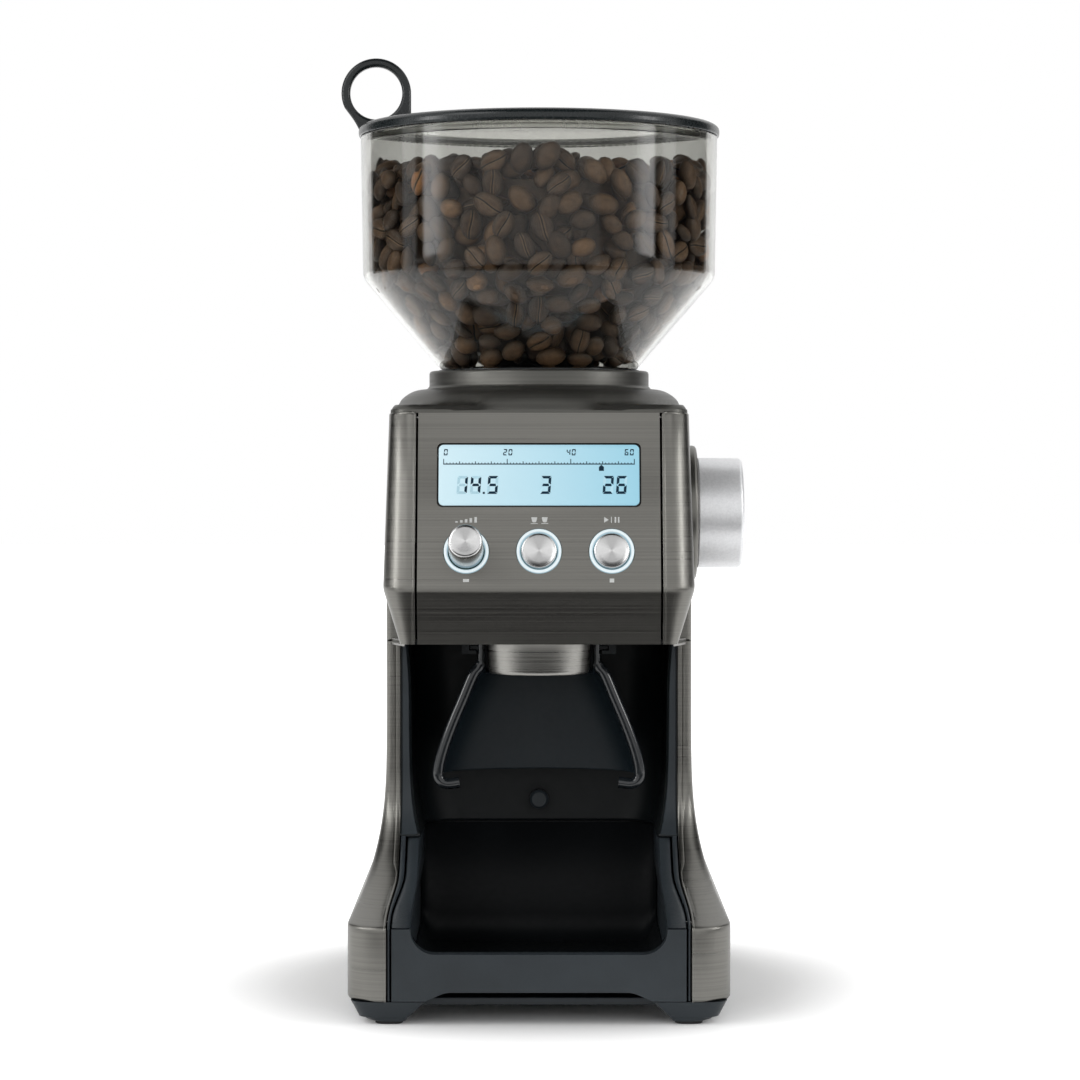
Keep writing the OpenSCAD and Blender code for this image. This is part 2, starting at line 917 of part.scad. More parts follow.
module grounds_duct() {
    color(black)
        difference() {
            block([-duct_hw, -duct_front, outlet_top_z], [duct_hw, -duct_back, duct_top_z]);
            block(
                [-port_hw, -duct_front + duct_wall, outlet_top_z - cut],
                [port_hw, -duct_back + cut, duct_top_z - duct_wall]
            );
            rod(chamber_outer_r, outlet_top_z - cut, duct_top_z + cut);
        }
}

// ---------- display and controls ----------

module display_lens() {
    color(ice)
        on_face(display_up)
            block([-display_w / 2, -0.3, -display_h / 2], [display_w / 2, fascia_t, display_h / 2]);
}

module display_module() {
    color(black)
        on_face(display_up)
            block(
                [-display_w / 2 - 1.5, fascia_t, -display_h / 2 - 1.2],
                [display_w / 2 + 1.5, board_y, display_h / 2 + 1.2]
            );
}

board_y = 12;
switch_h = 12 - 7.5 - 1.2;

module control_board() {
    color(pcb_green)
        on_face(0)
            block(
                [-fascia_hw + 4, board_y, controls_up - 10],
                [fascia_hw - 4, board_y + 1.6, display_up + display_h / 2 + 3]
            );
}

module button_switches() {
    color(black)
        for (i = [-1:1])
            on_face(controls_up)
                translate([i * control_pitch, 0, 0])
                    block([-4, board_y - switch_h, -4], [4, board_y, 4]);
}

module light_rings() {
    color(ice)
        for (i = [-1:1])
            on_face(controls_up)
                translate([i * control_pitch, 0, 0])
                    into_face()
                        tube(light_ring_r, button_r + 0.35, -0.6, fascia_t + 1);
}

// A push button: disc with a stem that reaches its switch
module push_button(i) {
    back = board_y - switch_h - button_travel - 0.2;
    on_face(controls_up)
        translate([i * control_pitch, 0, 0])
            into_face()
                rotate_extrude()
                    polygon([
                        [0, -0.9], [button_r - 0.8, -1.3], [button_r, -0.6], [button_r, 2.8],
                        [3, 2.8], [3, back], [0, back]
                    ]);
}

module cups_button() {
    color(steel)
        push_button(0);
}

module start_button() {
    color(steel)
        push_button(1);
}

knob_bore_l = 12;

module encoder_stem() {
    back = board_y - switch_h - button_travel - 0.2;
    color(steel)
        on_face(controls_up)
            translate([-control_pitch, 0, 0])
                into_face()
                    rod(3, -knob_bore_l, back);
}

module amount_knob() {
    color(silver)
        on_face(controls_up)
            translate([-control_pitch, 0, 0])
                into_face()
                    rotate_extrude()
                        polygon([
                            [0, -knob_l],
                            [knob_r - 1.8, -knob_l],
                            [knob_r - 0.5, -knob_l + 0.9],
                            [knob_r - 0.1, -knob_l + 2.4],
                            [knob_r, 0.6],
                            [3 + running, 0.6],
                            [3 + running, -knob_bore_l - free],
                            [0, -knob_bore_l - free]
                        ]);
}

// ---------- motor and gearbox ----------

module motor_can() {
    color(silver)
        translate([0, motor_y, 0])
            rotate_extrude()
                polygon([
                    [motor_shaft_r + bearing_w, motor_top_z],
                    [motor_r, motor_top_z],
                    [motor_r, motor_foot_z],
                    [motor_r - motor_wall, motor_foot_z],
                    [motor_r - motor_wall, motor_top_z - motor_lid_t],
                    [motor_shaft_r + bearing_w, motor_top_z - motor_lid_t]
                ]);
}

module motor_end_cap() {
    cap_z = motor_foot_z - motor_cap_h;
    color(black)
        translate([0, motor_y, 0])
            rotate_extrude()
                polygon([
                    [motor_shaft_r + bearing_w, cap_z],
                    [motor_r, cap_z],
                    [motor_r, motor_foot_z],
                    [motor_r - motor_wall, motor_foot_z],
                    [motor_r - motor_wall, cap_z + motor_lid_t],
                    [motor_shaft_r + bearing_w, cap_z + motor_lid_t]
                ]);
}

module motor_stator() {
    color(copper)
        translate([0, motor_y, 0])
            tube(motor_r - motor_wall, rotor_r + 1.5, stator_z, stator_z + stator_h);
}

module motor_rotor() {
    color(steel)
        translate([0, motor_y, 0])
            rotate_extrude()
                polygon([
                    [0, motor_foot_z - motor_cap_h + 0.5],
                    [motor_shaft_r, motor_foot_z - motor_cap_h + 0.5],
                    [motor_shaft_r, motor_foot_z + 2],
                    [9, motor_foot_z + 2],
                    [9, stator_z - 1],
                    [rotor_r, stator_z + 1],
                    [rotor_r, stator_z + stator_h - 1],
                    [9, stator_z + stator_h + 1],
                    [motor_shaft_r, stator_z + stator_h + 1],
                    [motor_shaft_r, gear_z + gear_h],
                    [0, gear_z + gear_h]
                ]);
}

module spur_gear(y, teeth, phase, bore_r) {
    translate([0, y, gear_z])
        linear_extrude(gear_h)
            difference() {
                gear_2d(teeth, gear_module, phase);
                circle(bore_r);
            }
}

module motor_pinion() {
    color(steel)
        spur_gear(motor_y, pinion_teeth, pinion_phase, motor_shaft_r);
}

module idler_gear() {
    color(nylon)
        spur_gear(idler_y, idler_teeth, idler_phase, idler_pin_r + running);
}

module burr_gear() {
    color(nylon)
        spur_gear(0, burr_gear_teeth, burr_gear_phase, burr_shaft_r);
}

module gearbox_2d(extra) {
    circle(burr_gear_r + tip_clear + extra);
    translate([0, idler_y])
        circle(idler_r + tip_clear + extra);
    translate([0, motor_y])
        circle(pinion_r + tip_clear + extra);
}

module gearbox_housing() {
    color(silver) {
        difference() {
            translate([0, 0, gearbox_z])
                linear_extrude(cover_z - gearbox_z)
                    gearbox_2d(gearbox_wall);
            translate([0, 0, gearbox_z + plate_t])
                linear_extrude(big)
                    gearbox_2d(0);
            rod(burr_shaft_r + bearing_w, gearbox_z - cut, gearbox_z + plate_t + cut);
            translate([0, motor_y, 0])
                rod(motor_shaft_r + 1, gearbox_z - cut, gearbox_z + plate_t + cut);
        }
        translate([0, idler_y, 0])
            rod(idler_pin_r, gearbox_z + plate_t - 0.5, cover_z);
    }
}

module gearbox_cover() {
    color(silver)
        difference() {
            translate([0, 0, cover_z])
                linear_extrude(plate_t)
                    gearbox_2d(gearbox_wall);
            rod(burr_shaft_r + 1, cover_z - cut, chamber_z + cut);
        }
}

module shaft_bearings() {
    color(steel) {
        tube(burr_shaft_r + bearing_w, burr_shaft_r + running, gearbox_z, gearbox_z + plate_t);
        tube(burr_shaft_r + bearing_w, burr_shaft_r + running, chamber_z, grounds_z);
        translate([0, motor_y, 0]) {
            tube(
                motor_shaft_r + bearing_w, motor_shaft_r + running,
                motor_top_z - motor_lid_t, motor_top_z
            );
            tube(
                motor_shaft_r + bearing_w, motor_shaft_r + running,
                motor_foot_z - motor_cap_h, motor_foot_z - motor_cap_h + motor_lid_t
            );
        }
    }
}

// ---------- burrs ----------

module grinding_chamber() {
    color(satin_grey)
        difference() {
            rotate_extrude()
                polygon([
                    [burr_shaft_r + bearing_w, chamber_z],
                    [chamber_outer_r, chamber_z],
                    [chamber_outer_r, chamber_top_z - shelf_t],
                    [shelf_r, chamber_top_z - shelf_t],
                    [shelf_r, chamber_top_z],
                    [chamber_inner_r, chamber_top_z],
                    [chamber_inner_r, grounds_z],
                    [burr_shaft_r + bearing_w, grounds_z]
                ]);
            block(
                [-port_hw, -chamber_outer_r - cut, grounds_z],
                [port_hw, -chamber_inner_r + 4, duct_top_z - duct_wall]
            );
        }
}

module hopper_seat() {
    color(satin_grey) {
        rotate_extrude()
            polygon([
                [chamber_inner_r, seat_z],
                [chamber_outer_r, seat_z],
                [chamber_outer_r, seat_top_z - seat_flange_t],
                [shelf_r, seat_top_z - seat_flange_t],
                [shelf_r, seat_top_z],
                [chamber_inner_r, seat_top_z]
            ]);
        for (a = post_angles)
            rotate(a)
                translate([post_ring_r, 0, 0])
                    rod(post_r, chamber_top_z, seat_top_z - seat_flange_t + 0.5);
    }
}

module hopper_switch() {
    color(black)
        block([-6, shelf_r, seat_top_z - 14], [6, shelf_r + 8, seat_top_z - 1]);
    color(steel)
        block([-2.5, shelf_r - 6, seat_top_z - seat_flange_t - 2.5], [2.5, shelf_r, seat_top_z - seat_flange_t - 1.9]);
}

module adjusting_ring() {
    plate_z = crown_root_z - crown_plate_t;
    tooth_w = 0.5 * crown_module;
    color(nylon) {
        tube(crown_outer_r, chamber_inner_r, plate_z, crown_root_z);
        for (i = [0:crown_teeth - 1])
            rotate((i + 0.5) * 360 / crown_teeth)
                translate([crown_pitch_r - crown_face_w / 2, 0, 0])
                    rotate([90, 0, 90])
                        linear_extrude(crown_face_w)
                            polygon([
                                [-tooth_w, crown_root_z - 0.2],
                                [-0.25 * crown_module, crown_tip_z],
                                [0.25 * crown_module, crown_tip_z],
                                [tooth_w, crown_root_z - 0.2]
                            ]);
    }
}

module dial_pinion() {
    x0 = crown_pitch_r - crown_face_w / 2 - 0.5;
    color(steel)
        translate([x0, 0, dial_z])
            rotate([0, 90, 0])
                linear_extrude(crown_face_w + 1)
                    difference() {
                        gear_2d(dial_teeth, crown_module, 0);
                        circle(dial_shaft_r);
                    }
}

bushing_r = dial_shaft_r + 5;
bushing_flange_r = bushing_r + 3;
bushing_gap = 5.5;
bushing_x = crown_outer_r + bushing_gap;
dial_x0 = body_hw + boss_t + free;

module dial_shaft() {
    color(steel)
        on_dial_axis()
            rod(dial_shaft_r, crown_pitch_r - crown_face_w / 2 - 2, dial_x0 + dial_l - 6);
}

module dial_bushing() {
    color(nylon)
        on_dial_axis() {
            tube(bushing_r, dial_shaft_r + running, bushing_x, body_hw + boss_t);
            tube(bushing_flange_r, bushing_r - 0.5, bushing_x, head_hw(dial_z + bushing_flange_r) - panel_t);
        }
}

module dial_bezel() {
    color(gunmetal)
        difference() {
            on_dial_axis()
                rotate_extrude()
                    polygon([
                        [bushing_r, head_hw(body_top_z)],
                        [boss_r, head_hw(body_top_z)],
                        [boss_r, body_hw + boss_t - 1],
                        [boss_r - 1, body_hw + boss_t],
                        [bushing_r, body_hw + boss_t]
                    ]);
            along_y(-boss_r - cut, boss_r + cut)
                polygon([
                    [0, crease_z],
                    [body_hw, crease_z],
                    [head_hw(body_top_z), body_top_z],
                    [0, body_top_z]
                ]);
        }
}

module grind_size_dial() {
    wall = 2.6;
    end_x = dial_x0 + dial_l;
    hub_r = dial_shaft_r + 3;
    color(silver)
        on_dial_axis()
            rotate_extrude()
                polygon([
                    [0, end_x - 6],
                    [0, end_x],
                    [dial_r - 2.2, end_x - 0.6],
                    [dial_r - 0.6, end_x - 1.6],
                    [dial_r - 0.2, end_x - 3],
                    [dial_r, dial_x0],
                    [dial_r - wall, dial_x0],
                    [dial_r - wall, end_x - 4],
                    [hub_r, end_x - 4],
                    [hub_r, dial_x0 + 1],
                    [dial_shaft_r, dial_x0 + 1],
                    [dial_shaft_r, end_x - 6]
                ]);
}

module burr_carrier() {
    color(black)
        difference() {
            tube(carrier_r, carrier_inner_r, carrier_z, carrier_top_z);
            translate([0, 0, handle_pivot_z])
                rotate([0, 90, 0])
                    cylinder(r = handle_wire_r + running, h = 2 * (carrier_r - 1.2), center = true);
        }
}

module ring_burr() {
    color(steel)
        difference() {
            rotate_extrude()
                polygon([
                    [cone_burr_r + burr_gap, burr_z],
                    [carrier_inner_r - 2, burr_z],
                    [carrier_inner_r, burr_z + 2],
                    [carrier_inner_r, burr_z + ring_burr_h],
                    [cone_burr_r + burr_gap + 4, burr_z + ring_burr_h]
                ]);
            for (i = [0:burr_flutes - 1])
                rotate(i * 360 / burr_flutes)
                    translate([cone_burr_r + burr_gap + 3, 0, burr_z + ring_burr_h])
                        rotate([0, 12, 0])
                            cube([6, 1.2, 8], center = true);
        }
}

module burr_handle() {
    color(steel)
        translate([0, 0, handle_pivot_z]) {
            rotate_extrude(angle = 180)
                translate([handle_arc_r, 0])
                    circle(handle_wire_r);
            for (side = [-1, 1])
                translate([side * (handle_arc_r - 0.4 + carrier_r - 1.5) / 2, 0, 0])
                    rotate([0, 90, 0])
                        cylinder(r = handle_wire_r, h = carrier_r - 1.5 - handle_arc_r + 0.4, center = true);
        }
}

module burr_shaft() {
    color(steel)
        rod(burr_shaft_r, gearbox_z + 0.3, burr_shaft_top_z);
}

module cone_burr() {
    top_r = burr_shaft_r + 3;
    color(steel)
        difference() {
            rotate_extrude()
                polygon([
                    [burr_shaft_r, burr_z - 0.5],
                    [cone_burr_r, burr_z - 0.5],
                    [cone_burr_r, burr_z + 1.5],
                    [top_r, burr_z + cone_burr_h],
                    [burr_shaft_r, burr_z + cone_burr_h]
                ]);
            for (i = [0:burr_flutes / 2])
                rotate(i * 720 / burr_flutes)
                    translate([(cone_burr_r + top_r) / 2 + 1, 0, burr_z + cone_burr_h / 2])
                        rotate([18, -18, 0])
                            cube([4, 1.2, cone_burr_h + 6], center = true);
        }
}

module grounds_impeller() {
    blade_t = 2;
    color(nylon) {
        tube(impeller_r, burr_shaft_r, impeller_z, impeller_z + impeller_t);
        for (i = [0:5])
            rotate(i * 60)
                block(
                    [cone_burr_r + 2, -blade_t / 2, impeller_z + impeller_t - 0.2],
                    [impeller_r - 1, blade_t / 2, impeller_z + impeller_t + impeller_blade_h]
                );
    }
}

// ---------- hopper and lid ----------

// Two ports through which the beans fall, as a ring sector each side
module bean_ports(z0, z1) {
    for (a = [-port_angle / 2, 180 - port_angle / 2])
        rotate(a)
            rotate_extrude(angle = port_angle)
                translate([port_inner_r, z0])
                    square([port_outer_r - port_inner_r, z1 - z0]);
}

module hopper_base_ring() {
    color(black)
        difference() {
            rotate_extrude()
                polygon([
                    [gate_hub_r + running, seat_top_z],
                    [base_ring_r, seat_top_z],
                    [base_ring_r, base_ring_top_z],
                    [base_ring_inner_r, base_ring_top_z],
                    [base_ring_inner_r, seat_top_z + base_ring_floor_t],
                    [gate_hub_r + running, seat_top_z + base_ring_floor_t]
                ]);
            bean_ports(seat_top_z - cut, seat_top_z + base_ring_floor_t + cut);
        }
}

module hopper_shell() {
    neck_inner_r = neck_r - hopper_t;
    slope = (hopper_crease_r - cone_foot_r) / cone_h;
    color(smoke)
        rotate_extrude()
            polygon([
                [neck_r, neck_z],
                [neck_r, base_ring_top_z],
                [cone_foot_r, base_ring_top_z],
                [cone_foot_r, cone_z],
                [hopper_crease_r, hopper_crease_z],
                [hopper_r, hopper_top_z],
                [hopper_mouth_r, hopper_top_z],
                [hopper_crease_r - hopper_t, hopper_crease_z + hopper_t * 0.45],
                [neck_inner_r, cone_z + (neck_inner_r + 1.45 * hopper_t - cone_foot_r) / slope],
                [neck_inner_r, neck_z]
            ]);
}

module gate_disc() {
    color(charcoal)
        difference() {
            rod(gate_r, gate_z, gate_z + gate_t);
            rod(gate_hub_r, gate_z - cut, gate_z + gate_t + cut);
            bean_ports(gate_z - cut, gate_z + gate_t + cut);
        }
}

module lock_dial() {
    grip_l = 46;
    grip_t = 7;
    grip_h = 14;
    grip_z = cone_z + 2;
    color(charcoal) {
        rod(gate_hub_r, seat_top_z + free, gate_z + gate_t);
        rod(gate_hub_r + 3, gate_z + gate_t, grip_z + 2);
        block([-grip_l / 2, -grip_t / 2, grip_z], [grip_l / 2, grip_t / 2, grip_z + grip_h]);
    }
}

module lid_disc() {
    disc_t = 2;
    color(smoke)
        rotate_extrude()
            polygon([
                [0, hopper_top_z - 1],
                [lid_disc_r, hopper_top_z - 1],
                [plug_r - 2, hopper_top_z - plug_h],
                [plug_r, hopper_top_z - plug_h],
                [plug_r, hopper_top_z],
                [lid_disc_r, hopper_top_z],
                [lid_disc_r, hopper_top_z - 1 + disc_t],
                [0, hopper_top_z - 1 + disc_t]
            ]);
}

module lid_gasket() {
    color(nylon)
        tube(plug_r + gasket_t, plug_r, hopper_top_z - plug_h + 0.4, hopper_top_z - 1);
}

module lid_rim() {
    color(black) {
        rotate_extrude()
            polygon([
                [lid_disc_r, hopper_top_z],
                [lid_r - 0.6, hopper_top_z],
                [lid_r, hopper_top_z + 0.6],
                [lid_r, hopper_top_z + lid_h - 1.4],
                [lid_r - 1.2, hopper_top_z + lid_h - 0.3],
                [lid_disc_r + 2, hopper_top_z + lid_h],
                [lid_disc_r, hopper_top_z + lid_h - 1]
            ]);
        along_y(-ring_t / 2, ring_t / 2)
            difference() {
                union() {
                    translate([ring_x, ring_z])
                        circle(ring_r);
                    polygon([
                        [-lid_r + 0.6, hopper_top_z + 1],
                        [ring_x - ring_r * 0.62, ring_z - ring_r * 0.76],
                        [ring_x - ring_r * 0.9, ring_z - ring_r * 0.43],
                        [ring_x, ring_z],
                        [ring_x + ring_r, ring_z],
                        [ring_x + ring_r, hopper_top_z + 1]
                    ]);
                }
                translate([ring_x, ring_z])
                    circle(ring_bore_r);
            }
    }
}

// ---------- bay ----------

// Half outline of the cradle wall seen from the front, from its stalk to its hook
function cradle_path(off) = [
    [stalk_x + off, head_z - 1],
    [stalk_x + off, cradle_knee_z + 4],
    [cradle_knee_x + off, cradle_knee_z],
    [cradle_knee_x + 4 + off, cradle_knee_z - 6],
    [cradle_hw - 5.5 + off, cradle_foot_z + 22],
    [cradle_hw - 1.5 + off, cradle_foot_z + 10],
    [cradle_hw + off, cradle_foot_z + hook_h]
];

module cradle_wall_2d() {
    outer = cradle_path(0);
    inner = [for (i = [len(outer) - 1:-1:0]) cradle_path(-cradle_t)[i]];
    polygon(concat(outer, inner));
    polygon([
        [cradle_hw - cradle_t, cradle_foot_z + hook_h + 0.5],
        [cradle_hw, cradle_foot_z + hook_h + 0.5],
        [cradle_hw - 2, cradle_foot_z + 0.8],
        [cradle_hw - 5, cradle_foot_z],
        [cradle_hw - hook_in - 1, cradle_foot_z],
        [cradle_hw - hook_in - 1, cradle_foot_z + hook_h - 0.6],
        [cradle_hw - 6, cradle_foot_z + hook_h]
    ]);
}

module portafilter_cradle() {
    back_y = cradle_front_y + cradle_d;
    right = [for (p = cradle_path(0)) if (p[1] < cradle_back_top_z) p];
    color(gloss_black) {
        both_sides() {
            along_y(cradle_front_y, back_y)
                cradle_wall_2d();
            block(
                [stalk_x - 0.5, cradle_front_y + 1, tongue_z],
                [stalk_x + tongue_w, back_y, tongue_z + tongue_t]
            );
        }
        along_y(back_y - cradle_t, back_y)
            polygon(concat(
                [[-cradle_knee_x, cradle_back_top_z], [cradle_knee_x, cradle_back_top_z]],
                [for (p = right) p],
                [for (i = [len(right) - 1:-1:0]) [-right[i][0], right[i][1]]]
            ));
    }
}

module tray_front_2d() {
    difference() {
        translate([-tray_hw, tray_z])
            square([2 * tray_hw, base_top_z - tray_z - 0.4]);
        rounded_rect([-tray_inner_hw, tray_lip_z], [tray_inner_hw, big], tray_corner_r);
        polygon([
            [-arch_hw, tray_z - cut], [-arch_hw, tray_z], [-arch_top_hw, tray_z + arch_h],
            [arch_top_hw, tray_z + arch_h], [arch_hw, tray_z], [arch_hw, tray_z - cut]
        ]);
    }
}

module grounds_tray() {
    floor_z = tray_z + arch_h + 0.4;
    color(charcoal) {
        along_y(tray_front_y, tray_front_y + tray_wall)
            tray_front_2d();
        block(
            [-tray_hw, tray_front_y + 2, floor_z],
            [tray_hw, tray_back_y, floor_z + tray_floor_t]
        );
        intersection() {
            along_x(-tray_hw, tray_hw)
                polygon(side_outline(1.6));
            union() {
                both_sides()
                    block(
                        [tray_inner_hw, tray_front_y + 1, tray_z],
                        [tray_hw, tray_back_y, tray_top_z]
                    );
                block(
                    [-tray_hw, tray_back_y - 3, tray_z],
                    [tray_hw, tray_back_y, tray_top_z]
                );
            }
        }
    }
}

module activation_plunger() {
    color(charcoal)
        translate([0, bay_back, plunger_z])
            rotate([90, 0, 0])
                rotate_extrude()
                    polygon([
                        [0, -liner_back_t - 1],
                        [plunger_stem_r, -liner_back_t - 1],
                        [plunger_stem_r, plunger_travel + 0.3],
                        [plunger_r, plunger_travel + 0.3],
                        [plunger_r, plunger_travel + 4],
                        [plunger_r - 1, plunger_travel + 5],
                        [0, plunger_travel + 5]
                    ]);
}

module activation_switch() {
    y0 = frame_front_y;
    color(black)
        difference() {
            block([-switch_hw, y0, plunger_z - switch_hw], [switch_hw, y0 + switch_d, plunger_z + switch_hw]);
            translate([0, y0 - cut, plunger_z])
                rotate([-90, 0, 0])
                    cylinder(r = plunger_stem_r + free, h = plunger_travel + 2 * cut + 0.4);
        }
}

base_chassis();
rubber_feet();
left_side_panel();
right_side_panel();
rear_cover();
top_cap();
front_fascia();
head_floor();
bay_liner();
inner_frame();
outlet_collar();
display_lens();
display_module();
control_board();
button_switches();
light_rings();
power_board();
motor_can();
motor_end_cap();
motor_stator();
gearbox_housing();
gearbox_cover();
grinding_chamber();
hopper_seat();
grounds_duct();
dial_bezel();
dial_bushing();
activation_switch();
hopper_switch();
shaft_bearings();
cord_gland();
case_screws();
hopper_shell();
hopper_base_ring();
gate_disc();
lock_dial();
lid_rim();
lid_disc();
lid_gasket();
grind_size_dial();
dial_shaft();
dial_pinion();
adjusting_ring();
burr_carrier();
ring_burr();
burr_handle();
burr_shaft();
cone_burr();
grounds_impeller();
burr_gear();
idler_gear();
motor_rotor();
motor_pinion();
amount_knob();
encoder_stem();
cups_button();
start_button();
portafilter_cradle();
grounds_tray();
activation_plunger();
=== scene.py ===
"""Burr coffee grinder: the looks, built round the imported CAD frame.

Lengths are in millimetres until a mesh is made. Materials, camera, lights and stage are in metres.
"""

import json
import math
import random

import bmesh
import bpy
from mathutils import Matrix, Vector

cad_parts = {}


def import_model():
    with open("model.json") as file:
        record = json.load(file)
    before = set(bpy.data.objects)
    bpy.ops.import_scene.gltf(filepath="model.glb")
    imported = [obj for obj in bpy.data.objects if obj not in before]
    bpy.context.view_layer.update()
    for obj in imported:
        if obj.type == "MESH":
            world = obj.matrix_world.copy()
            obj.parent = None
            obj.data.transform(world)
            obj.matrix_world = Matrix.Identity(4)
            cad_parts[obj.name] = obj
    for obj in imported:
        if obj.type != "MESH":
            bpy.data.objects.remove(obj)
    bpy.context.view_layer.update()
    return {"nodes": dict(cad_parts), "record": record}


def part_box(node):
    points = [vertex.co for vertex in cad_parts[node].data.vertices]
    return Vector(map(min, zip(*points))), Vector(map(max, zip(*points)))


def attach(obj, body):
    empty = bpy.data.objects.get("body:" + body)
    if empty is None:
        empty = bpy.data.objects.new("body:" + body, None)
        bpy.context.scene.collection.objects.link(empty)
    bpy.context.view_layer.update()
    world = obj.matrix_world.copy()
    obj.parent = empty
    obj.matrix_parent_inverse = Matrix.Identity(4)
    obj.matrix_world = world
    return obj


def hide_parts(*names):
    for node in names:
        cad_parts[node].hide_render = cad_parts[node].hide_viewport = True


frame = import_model()
MM = 1000.0


def span(node):
    """Lowest and highest corner of a CAD node, in millimetres."""
    low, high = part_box(node)
    return low * MM, high * MM


# ---------------------------------------------------------------- sizes read from the frame

panel_low, panel_high = span("left_side_panel")
cap_low, cap_high = span("top_cap")
fascia_low, fascia_high = span("front_fascia")
tray_low, tray_high = span("grounds_tray")
liner_high = span("bay_liner")[1]
cradle_low, cradle_high = span("portafilter_cradle")
shell_low, shell_high = span("hopper_shell")
rim_low, rim_high = span("lid_rim")
disc_low, disc_high = span("lid_disc")
outlet_low, outlet_high = span("outlet_collar")
dial_low, dial_high = span("grind_size_dial")
bezel_low, bezel_high = span("dial_bezel")

BODY_HW = liner_high.x + 3.7
HEAD_TOP_HW = cap_high.x + 0.4
BASE_HW = -panel_low.x
BASE_FRONT = -panel_low.y
BASE_REAR = panel_high.y
TOP_REAR = cap_high.y + 0.4
FOOT_Z = panel_low.z
BASE_TOP_Z = 38.6
FLARE_TOP_Z = 94.6
WIDTH_FLARE_TOP_Z = 130.0
HEAD_Z = fascia_low.z
TOP_Z = fascia_high.z
CREASE_FRONT = -fascia_low.y
CREASE_Z = HEAD_Z + 21.9
CHIN_FRONT = 72.0
FACE_TOP_FRONT = -cap_low.y + 0.4
COLUMN_FRONT = 38.0
CHIN_TAPER = 6.9
FASCIA_HW = fascia_high.x
LINER_HW = liner_high.x
BAY_BACK = liner_high.y - 2
TRAY_TOP_Z = tray_high.z
FACE_TILT = math.atan((CREASE_FRONT - FACE_TOP_FRONT) / (TOP_Z - CREASE_Z))
CONTROLS_UP = 15.9
CONTROL_PITCH = 29.0
DISPLAY_UP = 47.1
DISPLAY_W = 81.0
DISPLAY_H = 25.6
OUTLET_Y = (outlet_low.y + outlet_high.y) / 2
OUTLET_R = (outlet_high.x - outlet_low.x) / 2
DIAL_Z = (dial_low.z + dial_high.z) / 2
DIAL_R = (dial_high.z - dial_low.z) / 2
SHOULDER_TOP_Z = 54.5
SHOULDER_H = 14.0
CAP_COLLAR_R = 46.1
CAP_DOME_R = 47.3
CAP_FILLET_R = 47.8
CONE_BORE_R = 38.6
HEAP_DOWN = 17.0
GROOVE_SWAY = 0.10
GROOVE_RATE = 2.6


# ---------------------------------------------------------------- node helpers

MATERIALS = {}


def new_material(name):
    """A material that MATERIALS keeps under its name, with its node tree and its shader."""
    material = bpy.data.materials.new(name)
    material.use_nodes = True
    MATERIALS[name] = material
    tree = material.node_tree
    return tree, tree.nodes["Principled BSDF"]


def feed(tree, node, values):
    """Fills a node's sockets, by name or number, each from another node's output or with a plain value."""
    for key, value in values.items():
        if isinstance(value, bpy.types.NodeSocket):
            tree.links.new(value, node.inputs[key])
        else:
            node.inputs[key].default_value = value


def add(tree, kind, values=None, **properties):
    node = tree.nodes.new(kind)
    for key, value in properties.items():
        setattr(node, key, value)
    feed(tree, node, values or {})
    return node


def colour_ramp(tree, factor, stops, interpolation="LINEAR"):
    """A ramp through (place, colour) stops. A plain number stands for a grey."""
    node = add(tree, "ShaderNodeValToRGB", {"Fac": factor})
    node.color_ramp.interpolation = interpolation
    elements = node.color_ramp.elements
    while len(elements) < len(stops):
        elements.new(0.5)
    for element, (place, colour) in zip(elements, stops):
        element.position = place
        element.color = (*(colour if isinstance(colour, (tuple, list)) else [colour] * 3), 1)
    return node.outputs["Color"]


def two_tone(tree, factor, first, second, start=0.3, end=0.7):
    return colour_ramp(tree, factor, [(start, first), (end, second)])


def object_place(tree):
    return add(tree, "ShaderNodeTexCoord").outputs["Object"]


def axes_of(tree, vector):
    return add(tree, "ShaderNodeSeparateXYZ", {"Vector": vector}).outputs


def length_of(tree, vector):
    return add(tree, "ShaderNodeVectorMath", {0: vector}, operation="LENGTH").outputs["Value"]


def maths(tree, operation, *terms, clamp=False):
    values = dict(enumerate(terms))
    return add(tree, "ShaderNodeMath", values, operation=operation, use_clamp=clamp).outputs[0]


def mixed(tree, factor, first, second, blend="MIX"):
    """A mix of two colours, which are sockets 6 and 7 of the node."""
    values = {0: factor, 6: first, 7: second}
    return add(tree, "ShaderNodeMix", values, data_type="RGBA", blend_type=blend).outputs[2]


def stretched_noise(tree, scale, detail=3.0, roughness=0.6):
    """Noise in object coordinates, stretched by a different scale on each axis."""
    mapping = add(tree, "ShaderNodeMapping", {"Vector": object_place(tree), "Scale": scale})
    values = {"Vector": mapping.outputs["Vector"], "Scale": 1.0, "Detail": detail, "Roughness": roughness}
    return add(tree, "ShaderNodeTexNoise", values).outputs["Fac"]


def add_bump(tree, shader, height, strength, distance):
    bump = add(tree, "ShaderNodeBump", {"Height": height, "Strength": strength, "Distance": distance})
    feed(tree, shader, {"Normal": bump.outputs["Normal"]})


# ---------------------------------------------------------------- materials

